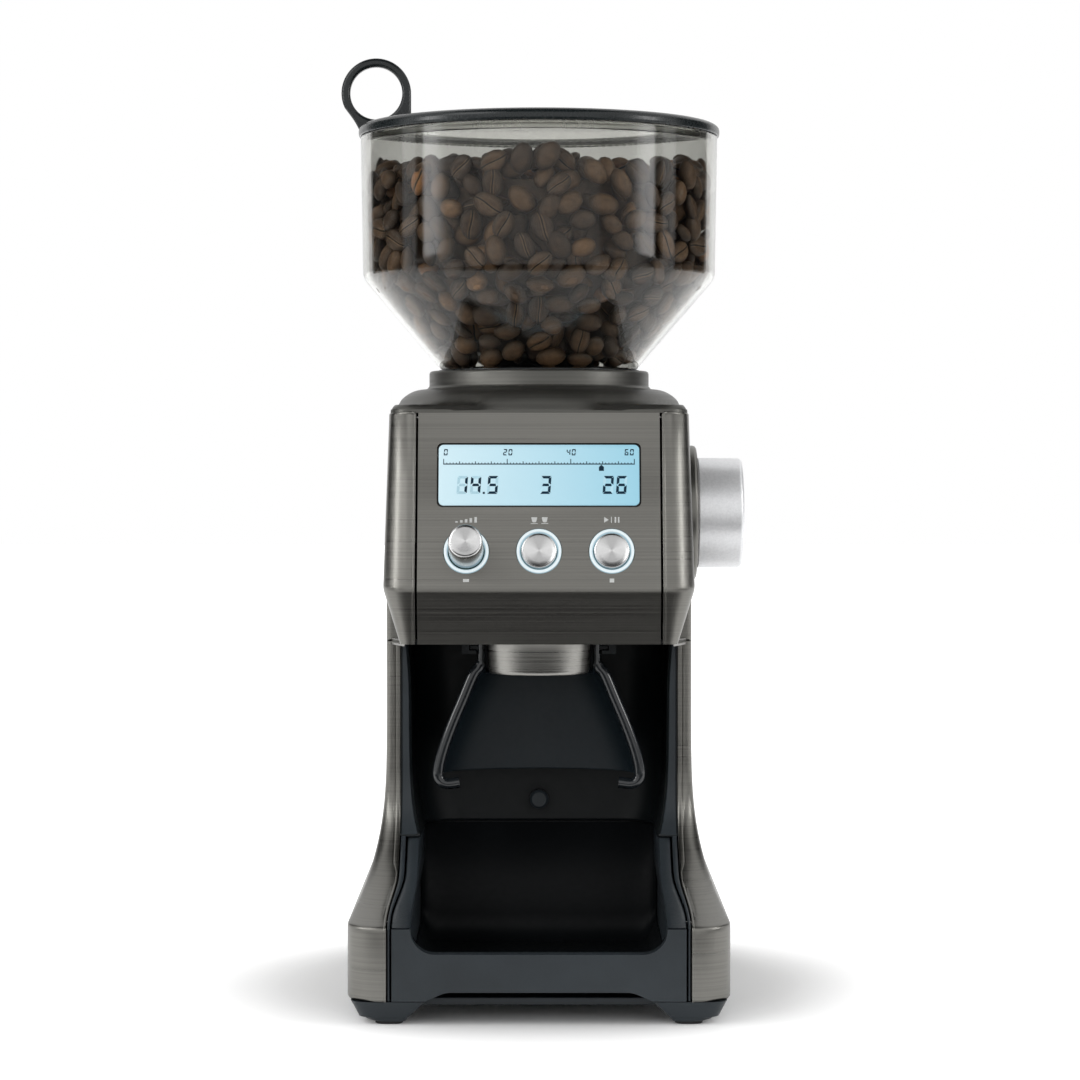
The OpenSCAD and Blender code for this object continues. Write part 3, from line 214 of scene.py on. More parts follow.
def brushed_metal(name, dark, light, scale, roughness, metallic=1.0, anisotropic=0.5):
    """Metal brushed in straight lines: the lines lie along the axes whose scale is low."""
    tree, shader = new_material(name)
    fine = stretched_noise(tree, scale, detail=4.0, roughness=0.7)
    broad = stretched_noise(tree, (9, 9, 14), detail=2.0)
    lines, cloud = two_tone(tree, fine, dark, light), two_tone(tree, broad, 0.82, 1.0)
    feed(tree, shader, {
        "Base Color": mixed(tree, 0.35, lines, cloud, "MULTIPLY"),
        "Roughness": two_tone(tree, fine, *roughness),
        "Metallic": metallic,
        "Anisotropic": anisotropic,
    })
    add_bump(tree, shader, fine, 0.12, 0.0004)


def grained_plastic(name, colour, roughness, grain=900, bump=0.15, coat=0.0, specular=0.5):
    """Moulded plastic with a fine spark-eroded grain and faint colour drift."""
    tree, shader = new_material(name)
    fine = stretched_noise(tree, (grain, grain, grain), detail=2.0)
    broad = stretched_noise(tree, (25, 25, 25))
    drift = 0.18
    dark = [c * (1 - drift) for c in colour]
    light = [min(1, c * (1 + drift)) for c in colour]
    feed(tree, shader, {
        "Base Color": two_tone(tree, broad, dark, light),
        "Roughness": two_tone(tree, fine, *roughness),
        "Specular IOR Level": specular,
        "Coat Weight": coat,
        "Coat Roughness": 0.06,
    })
    add_bump(tree, shader, fine, bump, 0.0002)


def spun_metal(name, colour, roughness):
    """Metal turned on a lathe round the piece's own Z axis, with rings, and a fan-shaped highlight painted
    into its colour.
    """
    tree, shader = new_material(name)
    axes = axes_of(tree, object_place(tree))
    # Painted highlight: the colour darkens and lightens twice round the axis, like the fan of reflections on
    # a turned disc.
    angle = maths(tree, "ARCTAN2", axes["Y"], axes["X"])
    wave = maths(tree, "COSINE", maths(tree, "MULTIPLY", angle, 2.0))
    level = add(tree, "ShaderNodeMapRange", {"Value": wave, "From Min": -1}).outputs["Result"]
    flat = add(tree, "ShaderNodeCombineXYZ", {"X": axes["X"], "Y": axes["Y"]})
    values = {"W": length_of(tree, flat.outputs["Vector"]), "Scale": 9000.0, "Detail": 3.0}
    rings = add(tree, "ShaderNodeTexNoise", values, noise_dimensions="1D").outputs["Fac"]
    painted_highlight_fan = two_tone(tree, level, [c * 0.62 for c in colour], colour, 0.1, 0.9)
    feed(tree, shader, {
        "Base Color": mixed(tree, 0.5, painted_highlight_fan, two_tone(tree, rings, 0.75, 1), "MULTIPLY"),
        "Metallic": 1.0,
        "Roughness": roughness,
        "Anisotropic": 0.6,
    })
    add_bump(tree, shader, rings, 0.1, 0.0002)


def tinted_clear(name, tint, roughness, haze, gloss=1.0):
    """Clear moulded plastic with a grey tint. Lamp rays pass through it, dimmed by the tint."""
    tree, shader = new_material(name)
    smear = stretched_noise(tree, (30, 30, 8))
    feed(tree, shader, {
        "Base Color": (*tint, 1),
        "Specular Tint": (gloss, gloss, gloss, 1),
        "Transmission Weight": 1.0,
        "IOR": 1.45,
        "Roughness": two_tone(tree, smear, roughness, roughness + haze, 0.35, 0.7),
    })
    path = add(tree, "ShaderNodeLightPath")
    through = add(tree, "ShaderNodeBsdfTransparent", {"Color": (*[c ** 0.5 for c in tint], 1)})
    values = {"Fac": path.outputs["Is Shadow Ray"], 1: shader.outputs["BSDF"], 2: through.outputs["BSDF"]}
    mix = add(tree, "ShaderNodeMixShader", values)
    feed(tree, tree.nodes["Material Output"], {"Surface": mix.outputs["Shader"]})


def lit_plastic(name, strength, dimness, axis, near, far, low, high):
    """Light-guide plastic that glows from colour near to colour far between two places along an axis."""
    tree, shader = new_material(name)
    fine = stretched_noise(tree, (400, 400, 400), detail=2.0)
    values = {"Value": axes_of(tree, object_place(tree))[axis], "From Min": low, "From Max": high}
    level = add(tree, "ShaderNodeMapRange", values).outputs["Result"]
    unlit = [[c * dimness for c in colour] for colour in (near, far)]
    feed(tree, shader, {
        "Base Color": two_tone(tree, level, *unlit, 0.0, 1.0),
        "Roughness": two_tone(tree, fine, 0.12, 0.24, 0.2, 0.8),
        "Emission Color": two_tone(tree, level, near, far, 0.0, 1.0),
        "Emission Strength": strength,
    })


def bean_material():
    """Roasted coffee: each bean has its own brown, an oily sheen and pale chaff along its groove, with
    painted shade down the groove's middle and round each bean's edge.
    """
    tree, shader = new_material("roasted_beans")
    bean = add(tree, "ShaderNodeNewGeometry").outputs["Random Per Island"]
    roast = colour_ramp(tree, bean, [
        (0.0, (0.105, 0.068, 0.050)),
        (0.45, (0.185, 0.116, 0.076)),
        (0.82, (0.290, 0.172, 0.098)),
        (0.965, (0.420, 0.230, 0.110)),
        (1.0, (0.60, 0.28, 0.12)),
    ])
    mottle = stretched_noise(tree, (420, 420, 420), detail=4.0)
    colour = mixed(tree, 0.7, roast, two_tone(tree, mottle, 0.55, 1.25), "MULTIPLY")
    place = add(tree, "ShaderNodeAttribute", attribute_name="bean_place").outputs["Vector"]
    axes = axes_of(tree, place)
    sine = maths(tree, "SINE", maths(tree, "MULTIPLY", axes["X"], GROOVE_RATE))
    wave = maths(tree, "MULTIPLY", sine, GROOVE_SWAY)
    away = maths(tree, "ABSOLUTE", maths(tree, "SUBTRACT", axes["Y"], wave))
    seam_side = maths(tree, "LESS_THAN", axes["Z"], -0.25)
    # The pale chaff is the bean's own colour; the dark band down the middle of the groove is painted shade.
    chaff = (0.10, 0.20, (0.30, 0.19, 0.11))
    groove_shade = (0.05, 0.09, (0.02, 0.013, 0.01))
    for near, far, tone in (chaff, groove_shade):
        band = maths(tree, "MULTIPLY", two_tone(tree, away, 1.0, 0.0, near, far), seam_side)
        colour = mixed(tree, band, colour, (*tone, 1))
    # Painted shade: each bean darkens towards its edge, where its neighbours would shade it.
    flat_place = add(tree, "ShaderNodeVectorMath", {0: place, 1: (1, 1, 0)}, operation="MULTIPLY")
    rim = two_tone(tree, length_of(tree, flat_place.outputs["Vector"]), 1.0, 0.35, 0.55, 1.0)
    feed(tree, shader, {
        "Base Color": mixed(tree, 1.0, colour, rim, "MULTIPLY"),
        "Roughness": two_tone(tree, mottle, 0.3, 0.52),
    })
    add_bump(tree, shader, mottle, 0.35, 0.0006)


def circuit_board_material():
    """Green board with tracks."""
    tree, shader = new_material("circuit_board")
    tracks = add(tree, "ShaderNodeTexBrick", {
        "Vector": object_place(tree),
        "Color1": (0.02, 0.13, 0.05, 1),
        "Color2": (0.03, 0.17, 0.07, 1),
        "Mortar": (0.08, 0.30, 0.13, 1),
        "Scale": 160.0,
    })
    feed(tree, shader, {"Base Color": tracks.outputs["Color"], "Roughness": 0.35})
    add_bump(tree, shader, tracks.outputs["Fac"], 0.2, 0.0002)


def winding_material():
    """Copper wire wound round the stator."""
    tree, shader = new_material("copper_winding")
    turns = stretched_noise(tree, (60, 60, 2600), detail=2.0)
    copper = two_tone(tree, turns, (0.22, 0.08, 0.03), (0.62, 0.28, 0.12))
    feed(tree, shader, {"Base Color": copper, "Metallic": 0.9, "Roughness": 0.35})
    add_bump(tree, shader, turns, 0.5, 0.0005)


brushed_metal("brushed_gunmetal", (0.158, 0.155, 0.143), (0.222, 0.217, 0.200), (3, 3, 1500), (0.26, 0.40))
brushed_metal(
    "satin_grey_metal", (0.080, 0.079, 0.073), (0.120, 0.118, 0.108), (3, 3, 900), (0.32, 0.44), 0.85, 0.3
)
# Painted light: a brighter copy of the gunmetal that stands in for the bright reflections on the outlet
# collar.
brushed_metal("outlet_metal_painted_light", (0.27, 0.265, 0.25), (0.37, 0.363, 0.34), (3, 3, 1200), (0.24, 0.36))
brushed_metal("bright_steel", (0.42, 0.42, 0.43), (0.62, 0.62, 0.63), (40, 40, 900), (0.22, 0.36))
brushed_metal("burr_steel", (0.30, 0.30, 0.31), (0.50, 0.50, 0.51), (300, 300, 60), (0.30, 0.42))
brushed_metal(
    "silver_aluminium", (0.80, 0.805, 0.82), (0.93, 0.935, 0.95), (900, 900, 900), (0.34, 0.42), 0.6, 0.0
)
spun_metal("spun_steel", (0.80, 0.80, 0.80), 0.24)
grained_plastic("charcoal_plastic", (0.022, 0.028, 0.033), (0.36, 0.50), specular=0.32)
grained_plastic("gloss_black_plastic", (0.006, 0.008, 0.009), (0.36, 0.48), 500, 0.05, specular=0.22)
grained_plastic("black_plastic", (0.009, 0.012, 0.013), (0.20, 0.32), 800, 0.04, specular=0.4)
grained_plastic("rubber", (0.018, 0.018, 0.018), (0.65, 0.85), 700, 0.3)
grained_plastic("cast_alloy", (0.30, 0.31, 0.32), (0.45, 0.62), 260, 0.4)
grained_plastic("nylon", (0.62, 0.60, 0.54), (0.35, 0.48), 300, 0.08)
grained_plastic("digit_ink", (0.006, 0.024, 0.045), (0.45, 0.55), 500, 0.02, specular=0.1)
grained_plastic("print_ink", (0.52, 0.53, 0.52), (0.4, 0.5), 500, 0.02)
grained_plastic("dark_gap", (0.006, 0.006, 0.007), (0.4, 0.6), 500, 0.02)
grained_plastic("ghost_ink", (0.42, 0.66, 0.76), (0.25, 0.35), 500, 0.02)
# Painted shade: a darker, duller copy of the charcoal plastic, for the inside of the tray's well.
grained_plastic("shaded_tray_inside", (0.006, 0.007, 0.008), (0.40, 0.52), 500, 0.03, specular=0.1)
grained_plastic("cradle_arm", (0.008, 0.010, 0.012), (0.14, 0.22), 300, 0.02, 0.3)
grained_plastic("cradle_hood", (0.005, 0.010, 0.014), (0.42, 0.54), 500, 0.05, specular=0.35)
tinted_clear("silicone", (0.86, 0.86, 0.82), 0.25, 0.10)
tinted_clear("smoked_clear", (0.61, 0.61, 0.585), 0.015, 0.03, 0.5)
lit_plastic("display_lens", 0.60, 0.35, "X", (0.66, 0.87, 0.95), (0.33, 0.65, 0.80), -0.0405, 0.0405)
lit_plastic("light_ring", 0.62, 0.35, "Z", (0.42, 0.62, 0.72), (0.88, 0.97, 1.0), -0.0004, 0.0006)
circuit_board_material()
winding_material()
bean_material()


# ---------------------------------------------------------------- mesh helpers

def add_object(name, data):
    thing = bpy.data.objects.new(name, data)
    bpy.context.scene.collection.objects.link(thing)
    return thing


def clean(mesh):
    """Welds points that meet and turns all faces outwards."""
    bm = bmesh.new()
    bm.from_mesh(mesh)
    bmesh.ops.remove_doubles(bm, verts=bm.verts, dist=1e-5)
    bmesh.ops.dissolve_degenerate(bm, edges=bm.edges, dist=1e-6)
    bmesh.ops.recalc_face_normals(bm, faces=bm.faces)
    bm.to_mesh(mesh)
    bm.free()


def local_mesh(name, verts, faces, weld=True):
    """A mesh object from points in millimetres, in its own frame."""
    mesh = bpy.data.meshes.new(name)
    mesh.from_pydata([[c / MM for c in v] for v in verts], [], faces)
    if weld:
        clean(mesh)
    return add_object(name, mesh)


def smooth(mesh, sharp):
    """Smooth shading, but for edges sharper than an angle in degrees."""
    for polygon in mesh.polygons:
        polygon.use_smooth = True
    mesh.set_sharp_from_angle(angle=math.radians(sharp))


def finish_piece(piece, slot, body, replaces=(), material=None, sharp=32):
    """Gives a piece its material (the slot's, unless one is named), its body and the nodes it replaces."""
    piece.data.materials.clear()
    piece.data.materials.append(MATERIALS[material or slot])
    smooth(piece.data, sharp)
    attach(piece, body)
    if replaces:
        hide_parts(*replaces)


def make_piece(name, verts, faces, slot, body, replaces=(), material=None, sharp=32, weld=True):
    """A mesh piece from points in millimetres that rides on a body."""
    piece = local_mesh(name, verts, faces, weld)
    finish_piece(piece, slot, body, replaces, material, sharp)
    return piece


def grid_faces(rows, columns, close_columns=False, close_rows=False, caps=False):
    """Quads between neighbouring rows of points. caps puts a face on the first row and on the last."""
    faces = []
    for i in range(rows if close_rows else rows - 1):
        for j in range(columns if close_columns else columns - 1):
            a, b = i * columns, ((i + 1) % rows) * columns
            k = (j + 1) % columns
            faces.append((a + j, a + k, b + k, b + j))
    if caps:
        faces += [tuple(range(columns)), tuple(range((rows - 1) * columns, rows * columns))]
    return faces


def grid_piece(name, rows, slot, body, close_columns=False, close_rows=False, caps=False, **options):
    verts = [p for row in rows for p in row]
    faces = grid_faces(len(rows), len(rows[0]), close_columns, close_rows, caps)
    return make_piece(name, verts, faces, slot, body, **options)


def turned_rows(profile, segments, centre=(0, 0)):
    """Rings of points: an (r, z) profile turned round a vertical axis."""
    turns = [2 * math.pi * k / segments for k in range(segments)]
    x, y = centre
    return [[(x + r * math.cos(a), y + r * math.sin(a), z) for a in turns] for r, z in profile]


def off_axis(profile):
    """Whether a profile keeps off its axis at both ends, so that it closes on itself."""
    return profile[0][0] > 1e-6 and profile[-1][0] > 1e-6


def revolved(name, profile, slot, body, centre=(0, 0), segments=128, **options):
    rows = turned_rows(profile, segments, centre)
    return grid_piece(name, rows, slot, body, close_columns=True, close_rows=off_axis(profile), **options)


def local_turned(name, profile, segments=96):
    """A turned piece in its own frame, about its Z axis."""
    verts = [p for row in turned_rows(profile, segments) for p in row]
    return local_mesh(name, verts, grid_faces(len(profile), segments, True, off_axis(profile)))


def rounded(points, radii, steps=5, closed=True):
    """Rounds the corners of an outline with short curves. Works in any number of dimensions."""
    if not isinstance(radii, (list, tuple)):
        radii = [radii] * len(points)
    result = []
    count = len(points)
    for i, point in enumerate(points):
        here = Vector(point)
        if radii[i] <= 0 or (not closed and i in (0, count - 1)):
            result.append(tuple(here))
            continue
        before = Vector(points[i - 1])
        after = Vector(points[(i + 1) % count])
        start = here + (before - here).normalized() * min(radii[i], (before - here).length * 0.49)
        end = here + (after - here).normalized() * min(radii[i], (after - here).length * 0.49)
        for k in range(steps + 1):
            t = k / steps
            result.append(tuple(start * (1 - t) ** 2 + here * 2 * t * (1 - t) + end * t * t))
    return result


def prism(name, outline, low, high, axis, slot, body, edge=0.0, **options):
    """Extrudes an outline between two places along an axis, with a soft edge.
    The outline is (y, z) for axis x, (x, z) for y and (x, y) for z."""
    def place(p, at):
        return {"x": (at, p[0], p[1]), "y": (p[0], at, p[1]), "z": (p[0], p[1], at)}[axis]
    count = len(outline)
    verts = [place(p, low) for p in outline] + [place(p, high) for p in outline]
    faces = [tuple(range(count)), tuple(range(count, 2 * count))]
    faces += [(i, (i + 1) % count, count + (i + 1) % count, count + i) for i in range(count)]
    piece = make_piece(name, verts, faces, slot, body, **options)
    if edge:
        soften(piece, edge)
    return piece


def soften(piece, width, segments=3, angle=38):
    bevel = piece.modifiers.new("edge", "BEVEL")
    bevel.width = width / MM
    bevel.segments = segments
    bevel.limit_method = "ANGLE"
    bevel.angle_limit = math.radians(angle)
    bevel.harden_normals = True


def thicken(piece, thickness, offset):
    """Makes a sheet solid: inwards at offset -1, outwards at 1 and both ways at 0."""
    sheet = piece.modifiers.new("sheet", "SOLIDIFY")
    sheet.thickness = thickness / MM
    sheet.offset = offset


def cut_with(piece, cutter):
    """Takes the cutter's shape out of the piece and removes the cutter."""
    mod = piece.modifiers.new("cut", "BOOLEAN")
    mod.operation = "DIFFERENCE"
    mod.solver = "EXACT"
    mod.object = cutter
    bpy.context.view_layer.update()
    graph = bpy.context.evaluated_depsgraph_get()
    mesh = bpy.data.meshes.new_from_object(piece.evaluated_get(graph))
    piece.modifiers.remove(mod)
    old = piece.data
    piece.data = mesh
    bpy.data.meshes.remove(old)
    bpy.data.objects.remove(cutter)


def cutter_from(bm, matrix):
    mesh = bpy.data.meshes.new("cutter")
    bm.to_mesh(mesh)
    bm.free()
    cutter = add_object("cutter", mesh)
    cutter.matrix_world = matrix
    return cutter


def cutter_box(low, high, matrix):
    bm = bmesh.new()
    bmesh.ops.create_cube(bm, size=1)
    low, high = Vector(low), Vector(high)
    bmesh.ops.scale(bm, vec=(high - low) / MM, verts=bm.verts)
    bmesh.ops.translate(bm, vec=(high + low) / 2 / MM, verts=bm.verts)
    return cutter_from(bm, matrix)


def cutter_cylinder(r, reach, matrix):
    """A cylinder along the matrix's Z axis, as long to both sides."""
    bm = bmesh.new()
    bmesh.ops.create_cone(
        bm, cap_ends=True, segments=96, radius1=r / MM, radius2=r / MM, depth=2 * reach / MM
    )
    return cutter_from(bm, matrix)


def face_matrix(x, up, out=0.0):
    """A frame on the sloping face, Z out of the face and Y up the slope. The matrix is in metres."""
    outward = Vector((0, -math.cos(FACE_TILT), math.sin(FACE_TILT)))
    slope = Vector((0, math.sin(FACE_TILT), math.cos(FACE_TILT)))
    matrix = Matrix((Vector((1, 0, 0)), slope, outward)).transposed().to_4x4()
    matrix.translation = (Vector((x, -CREASE_FRONT, CREASE_Z)) + slope * up + outward * out) / MM
    return matrix


def on_face(piece, x, up, out, slot, body, replaces=(), material=None):
    """Places a piece made in its own frame, Z outwards, on the sloping face."""
    piece.matrix_world = face_matrix(x, up, out)
    finish_piece(piece, slot, body, replaces, material)


def arc(cx, cy, r, start, end, steps):
    """Points on an arc, angles in degrees."""
    angles = [math.radians(start + (end - start) * k / steps) for k in range(steps + 1)]
    return [(cx + r * math.cos(a), cy + r * math.sin(a)) for a in angles]


# ---------------------------------------------------------------- housing curves, as in the CAD source

def unit(share):
    """Keeps a share between 0 and 1."""
    return max(0.0, min(1.0, share))


def flare(z):
    return unit((FLARE_TOP_Z - z) / (FLARE_TOP_Z - BASE_TOP_Z))


def side_hw(z):
    share = (WIDTH_FLARE_TOP_Z - z) / (WIDTH_FLARE_TOP_Z - BASE_TOP_Z)
    return BODY_HW + (BASE_HW - BODY_HW) * unit(share) ** 4


def front_edge(z):
    return COLUMN_FRONT + (BASE_FRONT - COLUMN_FRONT) * flare(z) ** 2.6


def shoulder(z):
    """0 above the base's shoulder and 1 below it, where the panels, the liner and the tray step outwards."""
    share = unit((SHOULDER_TOP_Z - z) / SHOULDER_H)
    return share * share * (3 - 2 * share)


def metal_in(z):
    """Where the side panel's front face ends inwards, beside the tray and the bay."""
    return 56.7 + 3.1 * shoulder(z)


def tray_outer_x(z):
    """Outer face of the tray's arm at height z."""
    return 53.6 + 4.0 * shoulder(z)


def rear_edge(z):
    return BASE_REAR + (TOP_REAR - BASE_REAR) * (z - FOOT_Z) / (TOP_Z - FOOT_Z)


# ---------------------------------------------------------------- side panels

def panel_levels():
    """(z, front, inner x, front half width, side half width, corner radius, bead) up the panel.

    Each key has an eighth value, the radius by which the panel's line up the side is rounded there.
    """
    base_in = metal_in(FOOT_Z)
    head_in = FASCIA_HW + 1
    keys = [(FOOT_Z, BASE_FRONT - 0.7, base_in, BASE_HW - 0.7, BASE_HW - 0.7, 13.3, 0.1, 0)]
    keys.append((FOOT_Z + 1, BASE_FRONT, base_in, BASE_HW, BASE_HW, 14, 0.1, 0.6))
    keys.append((BASE_TOP_Z, BASE_FRONT, base_in, BASE_HW, BASE_HW, 14, 0.1, 2.8))
    for k in range(1, 19):
        z = BASE_TOP_Z + (FLARE_TOP_Z - BASE_TOP_Z) * (k / 18) ** 1.5
        radius, bead = 2.6 + 11.4 * flare(z) ** 1.6, 0.1 + 0.6 * (1 - flare(z))
        keys.append((z, front_edge(z), metal_in(z), side_hw(z), side_hw(z), radius, bead, 0))
    for z in (103, 112, 121, 130, HEAD_Z - 8, HEAD_Z - 1.1, HEAD_Z - 0.8):
        keys.append((z, COLUMN_FRONT, metal_in(z), side_hw(z), side_hw(z), 2.6, 0.7, 0))
    low_hw = BODY_HW - CHIN_TAPER
    keys.append((HEAD_Z, CHIN_FRONT, head_in, low_hw, BODY_HW, 5.5, 0.1, 0))
    for up, radius in ((0.4, 5.6), (11, 9.0)):
        share = 0.5 * up / 11
        front = CHIN_FRONT + (CREASE_FRONT - CHIN_FRONT) * share
        front_hw = low_hw + (BODY_HW - low_hw) * share
        keys.append((HEAD_Z + up, front, head_in, front_hw, BODY_HW, radius, 0.1, 0))
    keys.append((CREASE_Z, CREASE_FRONT, head_in, BODY_HW, BODY_HW, 12.5, 0.1, 1.6))
    for up in (20.0, 45.0, TOP_Z - CREASE_Z - 0.6, TOP_Z - CREASE_Z):
        share = up / (TOP_Z - CREASE_Z)
        front = CREASE_FRONT + (FACE_TOP_FRONT - CREASE_FRONT) * share
        hw = BODY_HW + (HEAD_TOP_HW - BODY_HW) * share
        trim = 0.5 if share == 1 else 0.0
        keys.append((CREASE_Z + up, front + trim, head_in, hw - trim, hw - trim, 12.0, 0.1, 0))
    return rounded([k[:7] for k in keys], [k[7] for k in keys], 4, closed=False)


def panel_row(level):
    """One level in plan: inner bead, rounded front, step back to the column, side and rear corner."""
    z, front, inner_x, hw_front, hw, r, bead = level
    roll = 1.1 if bead > 0.3 else 0.4
    bead_angles = [math.pi * k / 6 for k in range(7)]
    flat_in = inner_x + 2 * roll + 0.3
    r = min(r, hw_front - flat_in - 0.1)
    rear = rear_edge(max(FOOT_Z, z))
    rear_r = 10.0
    rear_in = 54.3
    row = [(inner_x, -front + bead + 0.6)]
    row += [(inner_x + roll * (1 - math.cos(t)), -front + bead * (1 - math.sin(t))) for t in bead_angles]
    row += [(flat_in, -front + bead * 0.8)]
    row += arc(hw_front - r, -front + r, r, -90, 0, 10)
    step_y = max(-front + r + 0.4, -COLUMN_FRONT)
    fillet = min(2.6, hw - hw_front)
    row += [(hw_front, step_y - 0.05)]
    row += arc(hw - fillet, step_y + fillet, fillet, -90, 0, 4)
    row += [(hw, 0.0), (hw, 45.0)]
    row += arc(hw - rear_r, rear - rear_r, rear_r, 0, 90, 8)
    row += [(rear_in, rear)]
    return [(x, y, z) for x, y in row]


def side_panel(name, side, node):
    rows = [[(side * x, y, z) for x, y, z in panel_row(level)] for level in panel_levels()]
    panel = grid_piece(name, rows, "brushed_gunmetal", "housing", replaces=(node,), sharp=40)
    outermost = max(panel.data.polygons, key=lambda polygon: side * polygon.center.x)
    if side * outermost.normal.x < 0:
        panel.data.flip_normals()
    thicken(panel, 2, -1)


side_panel("side_panel_left", -1, "left_side_panel")
side_panel("side_panel_right", 1, "right_side_panel")


# ---------------------------------------------------------------- fascia

def fascia():
    """The sloping front plate, with three round holes for the controls and a window for the display."""
    wall = 2.5
    flat_area = 1e-4
    outer = [
        (-CHIN_FRONT, HEAD_Z), (-CREASE_FRONT, CREASE_Z), (-FACE_TOP_FRONT, TOP_Z),
        (-FACE_TOP_FRONT + wall, TOP_Z), (-CREASE_FRONT + wall, CREASE_Z), (-CHIN_FRONT + wall, HEAD_Z),
    ]
    outline = rounded(outer, [0, 1.6, 0, 0, 1, 0], 5)
    plate = prism(
        "fascia_plate", outline, -FASCIA_HW, FASCIA_HW, "x", "brushed_gunmetal", "housing",
        replaces=("front_fascia",),
    )
    for i in (-1, 0, 1):
        cut_with(plate, cutter_cylinder(9.25, 8, face_matrix(i * CONTROL_PITCH, CONTROLS_UP)))
    x, y = DISPLAY_W / 2 + 0.4, DISPLAY_H / 2 + 0.4
    window = cutter_box((-x, -y, -8), (x, y, 8), face_matrix(0, DISPLAY_UP))
    rounding = window.modifiers.new("corners", "BEVEL")
    rounding.width = 2.2 / MM
    rounding.segments = 6
    cut_with(plate, window)
    for polygon in plate.data.polygons:
        polygon.use_smooth = polygon.area < flat_area
    plate.data.set_sharp_from_angle(angle=math.radians(30))
    soften(plate, 0.35, 2, 40)


fascia()


# ---------------------------------------------------------------- display

def rounded_plate(name, w, h, r, thickness, crown=0.0):
    """A plate in its own frame with rounded corners, its face at z = 0."""
    outline = []
    for cx, cy, a in ((w / 2 - r, h / 2 - r, 0), (-w / 2 + r, h / 2 - r, 90),
                      (-w / 2 + r, -h / 2 + r, 180), (w / 2 - r, -h / 2 + r, 270)):
        outline += arc(cx, cy, r, a, a + 90, 6)
    rings = []
    for inset, z in ((0, -thickness), (0, -0.4), (0.12, -0.12), (0.4, 0.0), (2.0, crown * 0.2)):
        rings.append([
            (x * (1 - inset / (w / 2)), y * (1 - inset / (h / 2)), z) for x, y in outline
        ])
    faces = grid_faces(len(rings), len(outline), close_columns=True, caps=True)
    return local_mesh(name, [p for ring in rings for p in ring], faces)


def display():
    surround = rounded_plate("display_surround", DISPLAY_W + 0.6, DISPLAY_H + 0.6, 2.2, 2.0)
    on_face(surround, 0, DISPLAY_UP, -0.5, "black_plastic", "housing", material="dark_gap")
    glass = rounded_plate("display_window", DISPLAY_W - 0.6, DISPLAY_H - 0.6, 2.0, 1.6, crown=0.2)
    on_face(glass, 0, DISPLAY_UP, 0.25, "display_lens", "housing", replaces=("display_lens",))


# The seven strokes of a digit: which are lit for each numeral
STROKES = {
    "0": "abcdef", "1": "bc", "2": "abged", "3": "abgcd", "4": "fgbc",
    "5": "afgcd", "6": "afgedc", "7": "abc", "8": "abcdefg", "9": "abcdfg",
}


def stroke_outline(stroke, w, h, t):
    """The outline of one stroke of a seven-stroke digit, with its origin at the lower left."""
    gap = 0.12 * t
    half = h / 2
    flat = {"a": h, "g": half + t / 2, "d": t}
    if stroke in flat:
        top = flat[stroke]
        end = gap + t * 0.5 if stroke == "g" else gap
        short, long = (t * 0.9, w - t * 0.9), (end, w - end)
        (a, b), (c, d) = (long, short) if stroke == "a" else (short, long)
        return [(a, top), (b, top), (d, top - t), (c, top - t)]
    low, high = (t * 0.35, half - gap) if stroke in "ec" else (half + gap, h - t * 0.35)
    if stroke in "ef":
        return [(0, low), (t, low + t * 0.7), (t, high - t * 0.7), (0, high)]
    return [(w, low), (w - t, low + t * 0.7), (w - t, high - t * 0.7), (w, high)]


def flat_marks(name, outlines, thickness):
    """Raised flat marks in one piece, each from its outline."""
    verts, faces = [], []
    for outline in outlines:
        start, count = len(verts), len(outline)
        verts += [(x, y, -thickness) for x, y in outline] + [(x, y, thickness) for x, y in outline]
        sides = grid_faces(2, count, close_columns=True, caps=True)
        faces += [tuple(start + i for i in face) for face in sides[count:] + sides[:count]]
    return local_mesh(name, verts, faces)


def digit_outlines(text, x, y, w, h, t, gap=1.25):
    """Numerals from x rightwards. A full stop takes little room."""
    outlines = []
    for character in text:
        if character == ".":
            outlines.append([(x - 0.2, y), (x + 0.65, y), (x + 0.65, y + 0.85), (x - 0.2, y + 0.85)])
            x += 1.5
            continue
        slant = 0.07
        for stroke in STROKES[character]:
            outlines.append([(x + px + slant * py, y + py) for px, py in stroke_outline(stroke, w, h, t)])
        x += w + gap
    return outlines


def rectangle(x0, y0, x1, y1):
    return [(x0, y0), (x1, y0), (x1, y1), (x0, y1)]


def display_marks():
    """Plain numerals, and a scale with its pointer. Unlit strokes show faintly behind the lit ones."""
    low, w, h, stroke = -7.9, 4.1, 7.4, 1.05
    places = ((-33.0, "14.5", "88.8"), (0.4, "3", "8"), (25.4, "26", "88"))
    lit, unlit = [], []
    for x, text, blank in places:
        lit += digit_outlines(text, x, low, w, h, stroke)
        unlit += digit_outlines(blank, x, low, w, h, stroke)
    left, right, base = -38.2, 38.2, 4.2
    lit.append(rectangle(left, base, right, base + 0.42))
    ticks = 60
    for i in range(ticks + 1):
        x = left + (right - left) * i / ticks
        tall = 2.3 if i % 20 == 0 else 1.3 if i % 5 == 0 else 0.8
        lit.append(rectangle(x - 0.16, base, x + 0.16, base + tall))
    lit.append([(24.0, 3.2), (24.0, 1.6), (26.0, 1.6), (26.0, 3.2), (25.0, 4.1)])
    for text, x in (("0", -38.2), ("20", -14.4), ("40", 11.0), ("60", 34.3)):
        lit += digit_outlines(text, x, 8.0, 1.5, 2.6, 0.42, 0.6)
    unlit_marks = flat_marks("display_unlit", unlit, 0.06)
    on_face(unlit_marks, 0, DISPLAY_UP, 0.28, "display_lens", "housing", material="ghost_ink")
    lit_marks = flat_marks("display_figures", lit, 0.06)
    on_face(lit_marks, 0, DISPLAY_UP, 0.32, "display_lens", "housing", material="digit_ink")


display()
display_marks()


# ---------------------------------------------------------------- controls

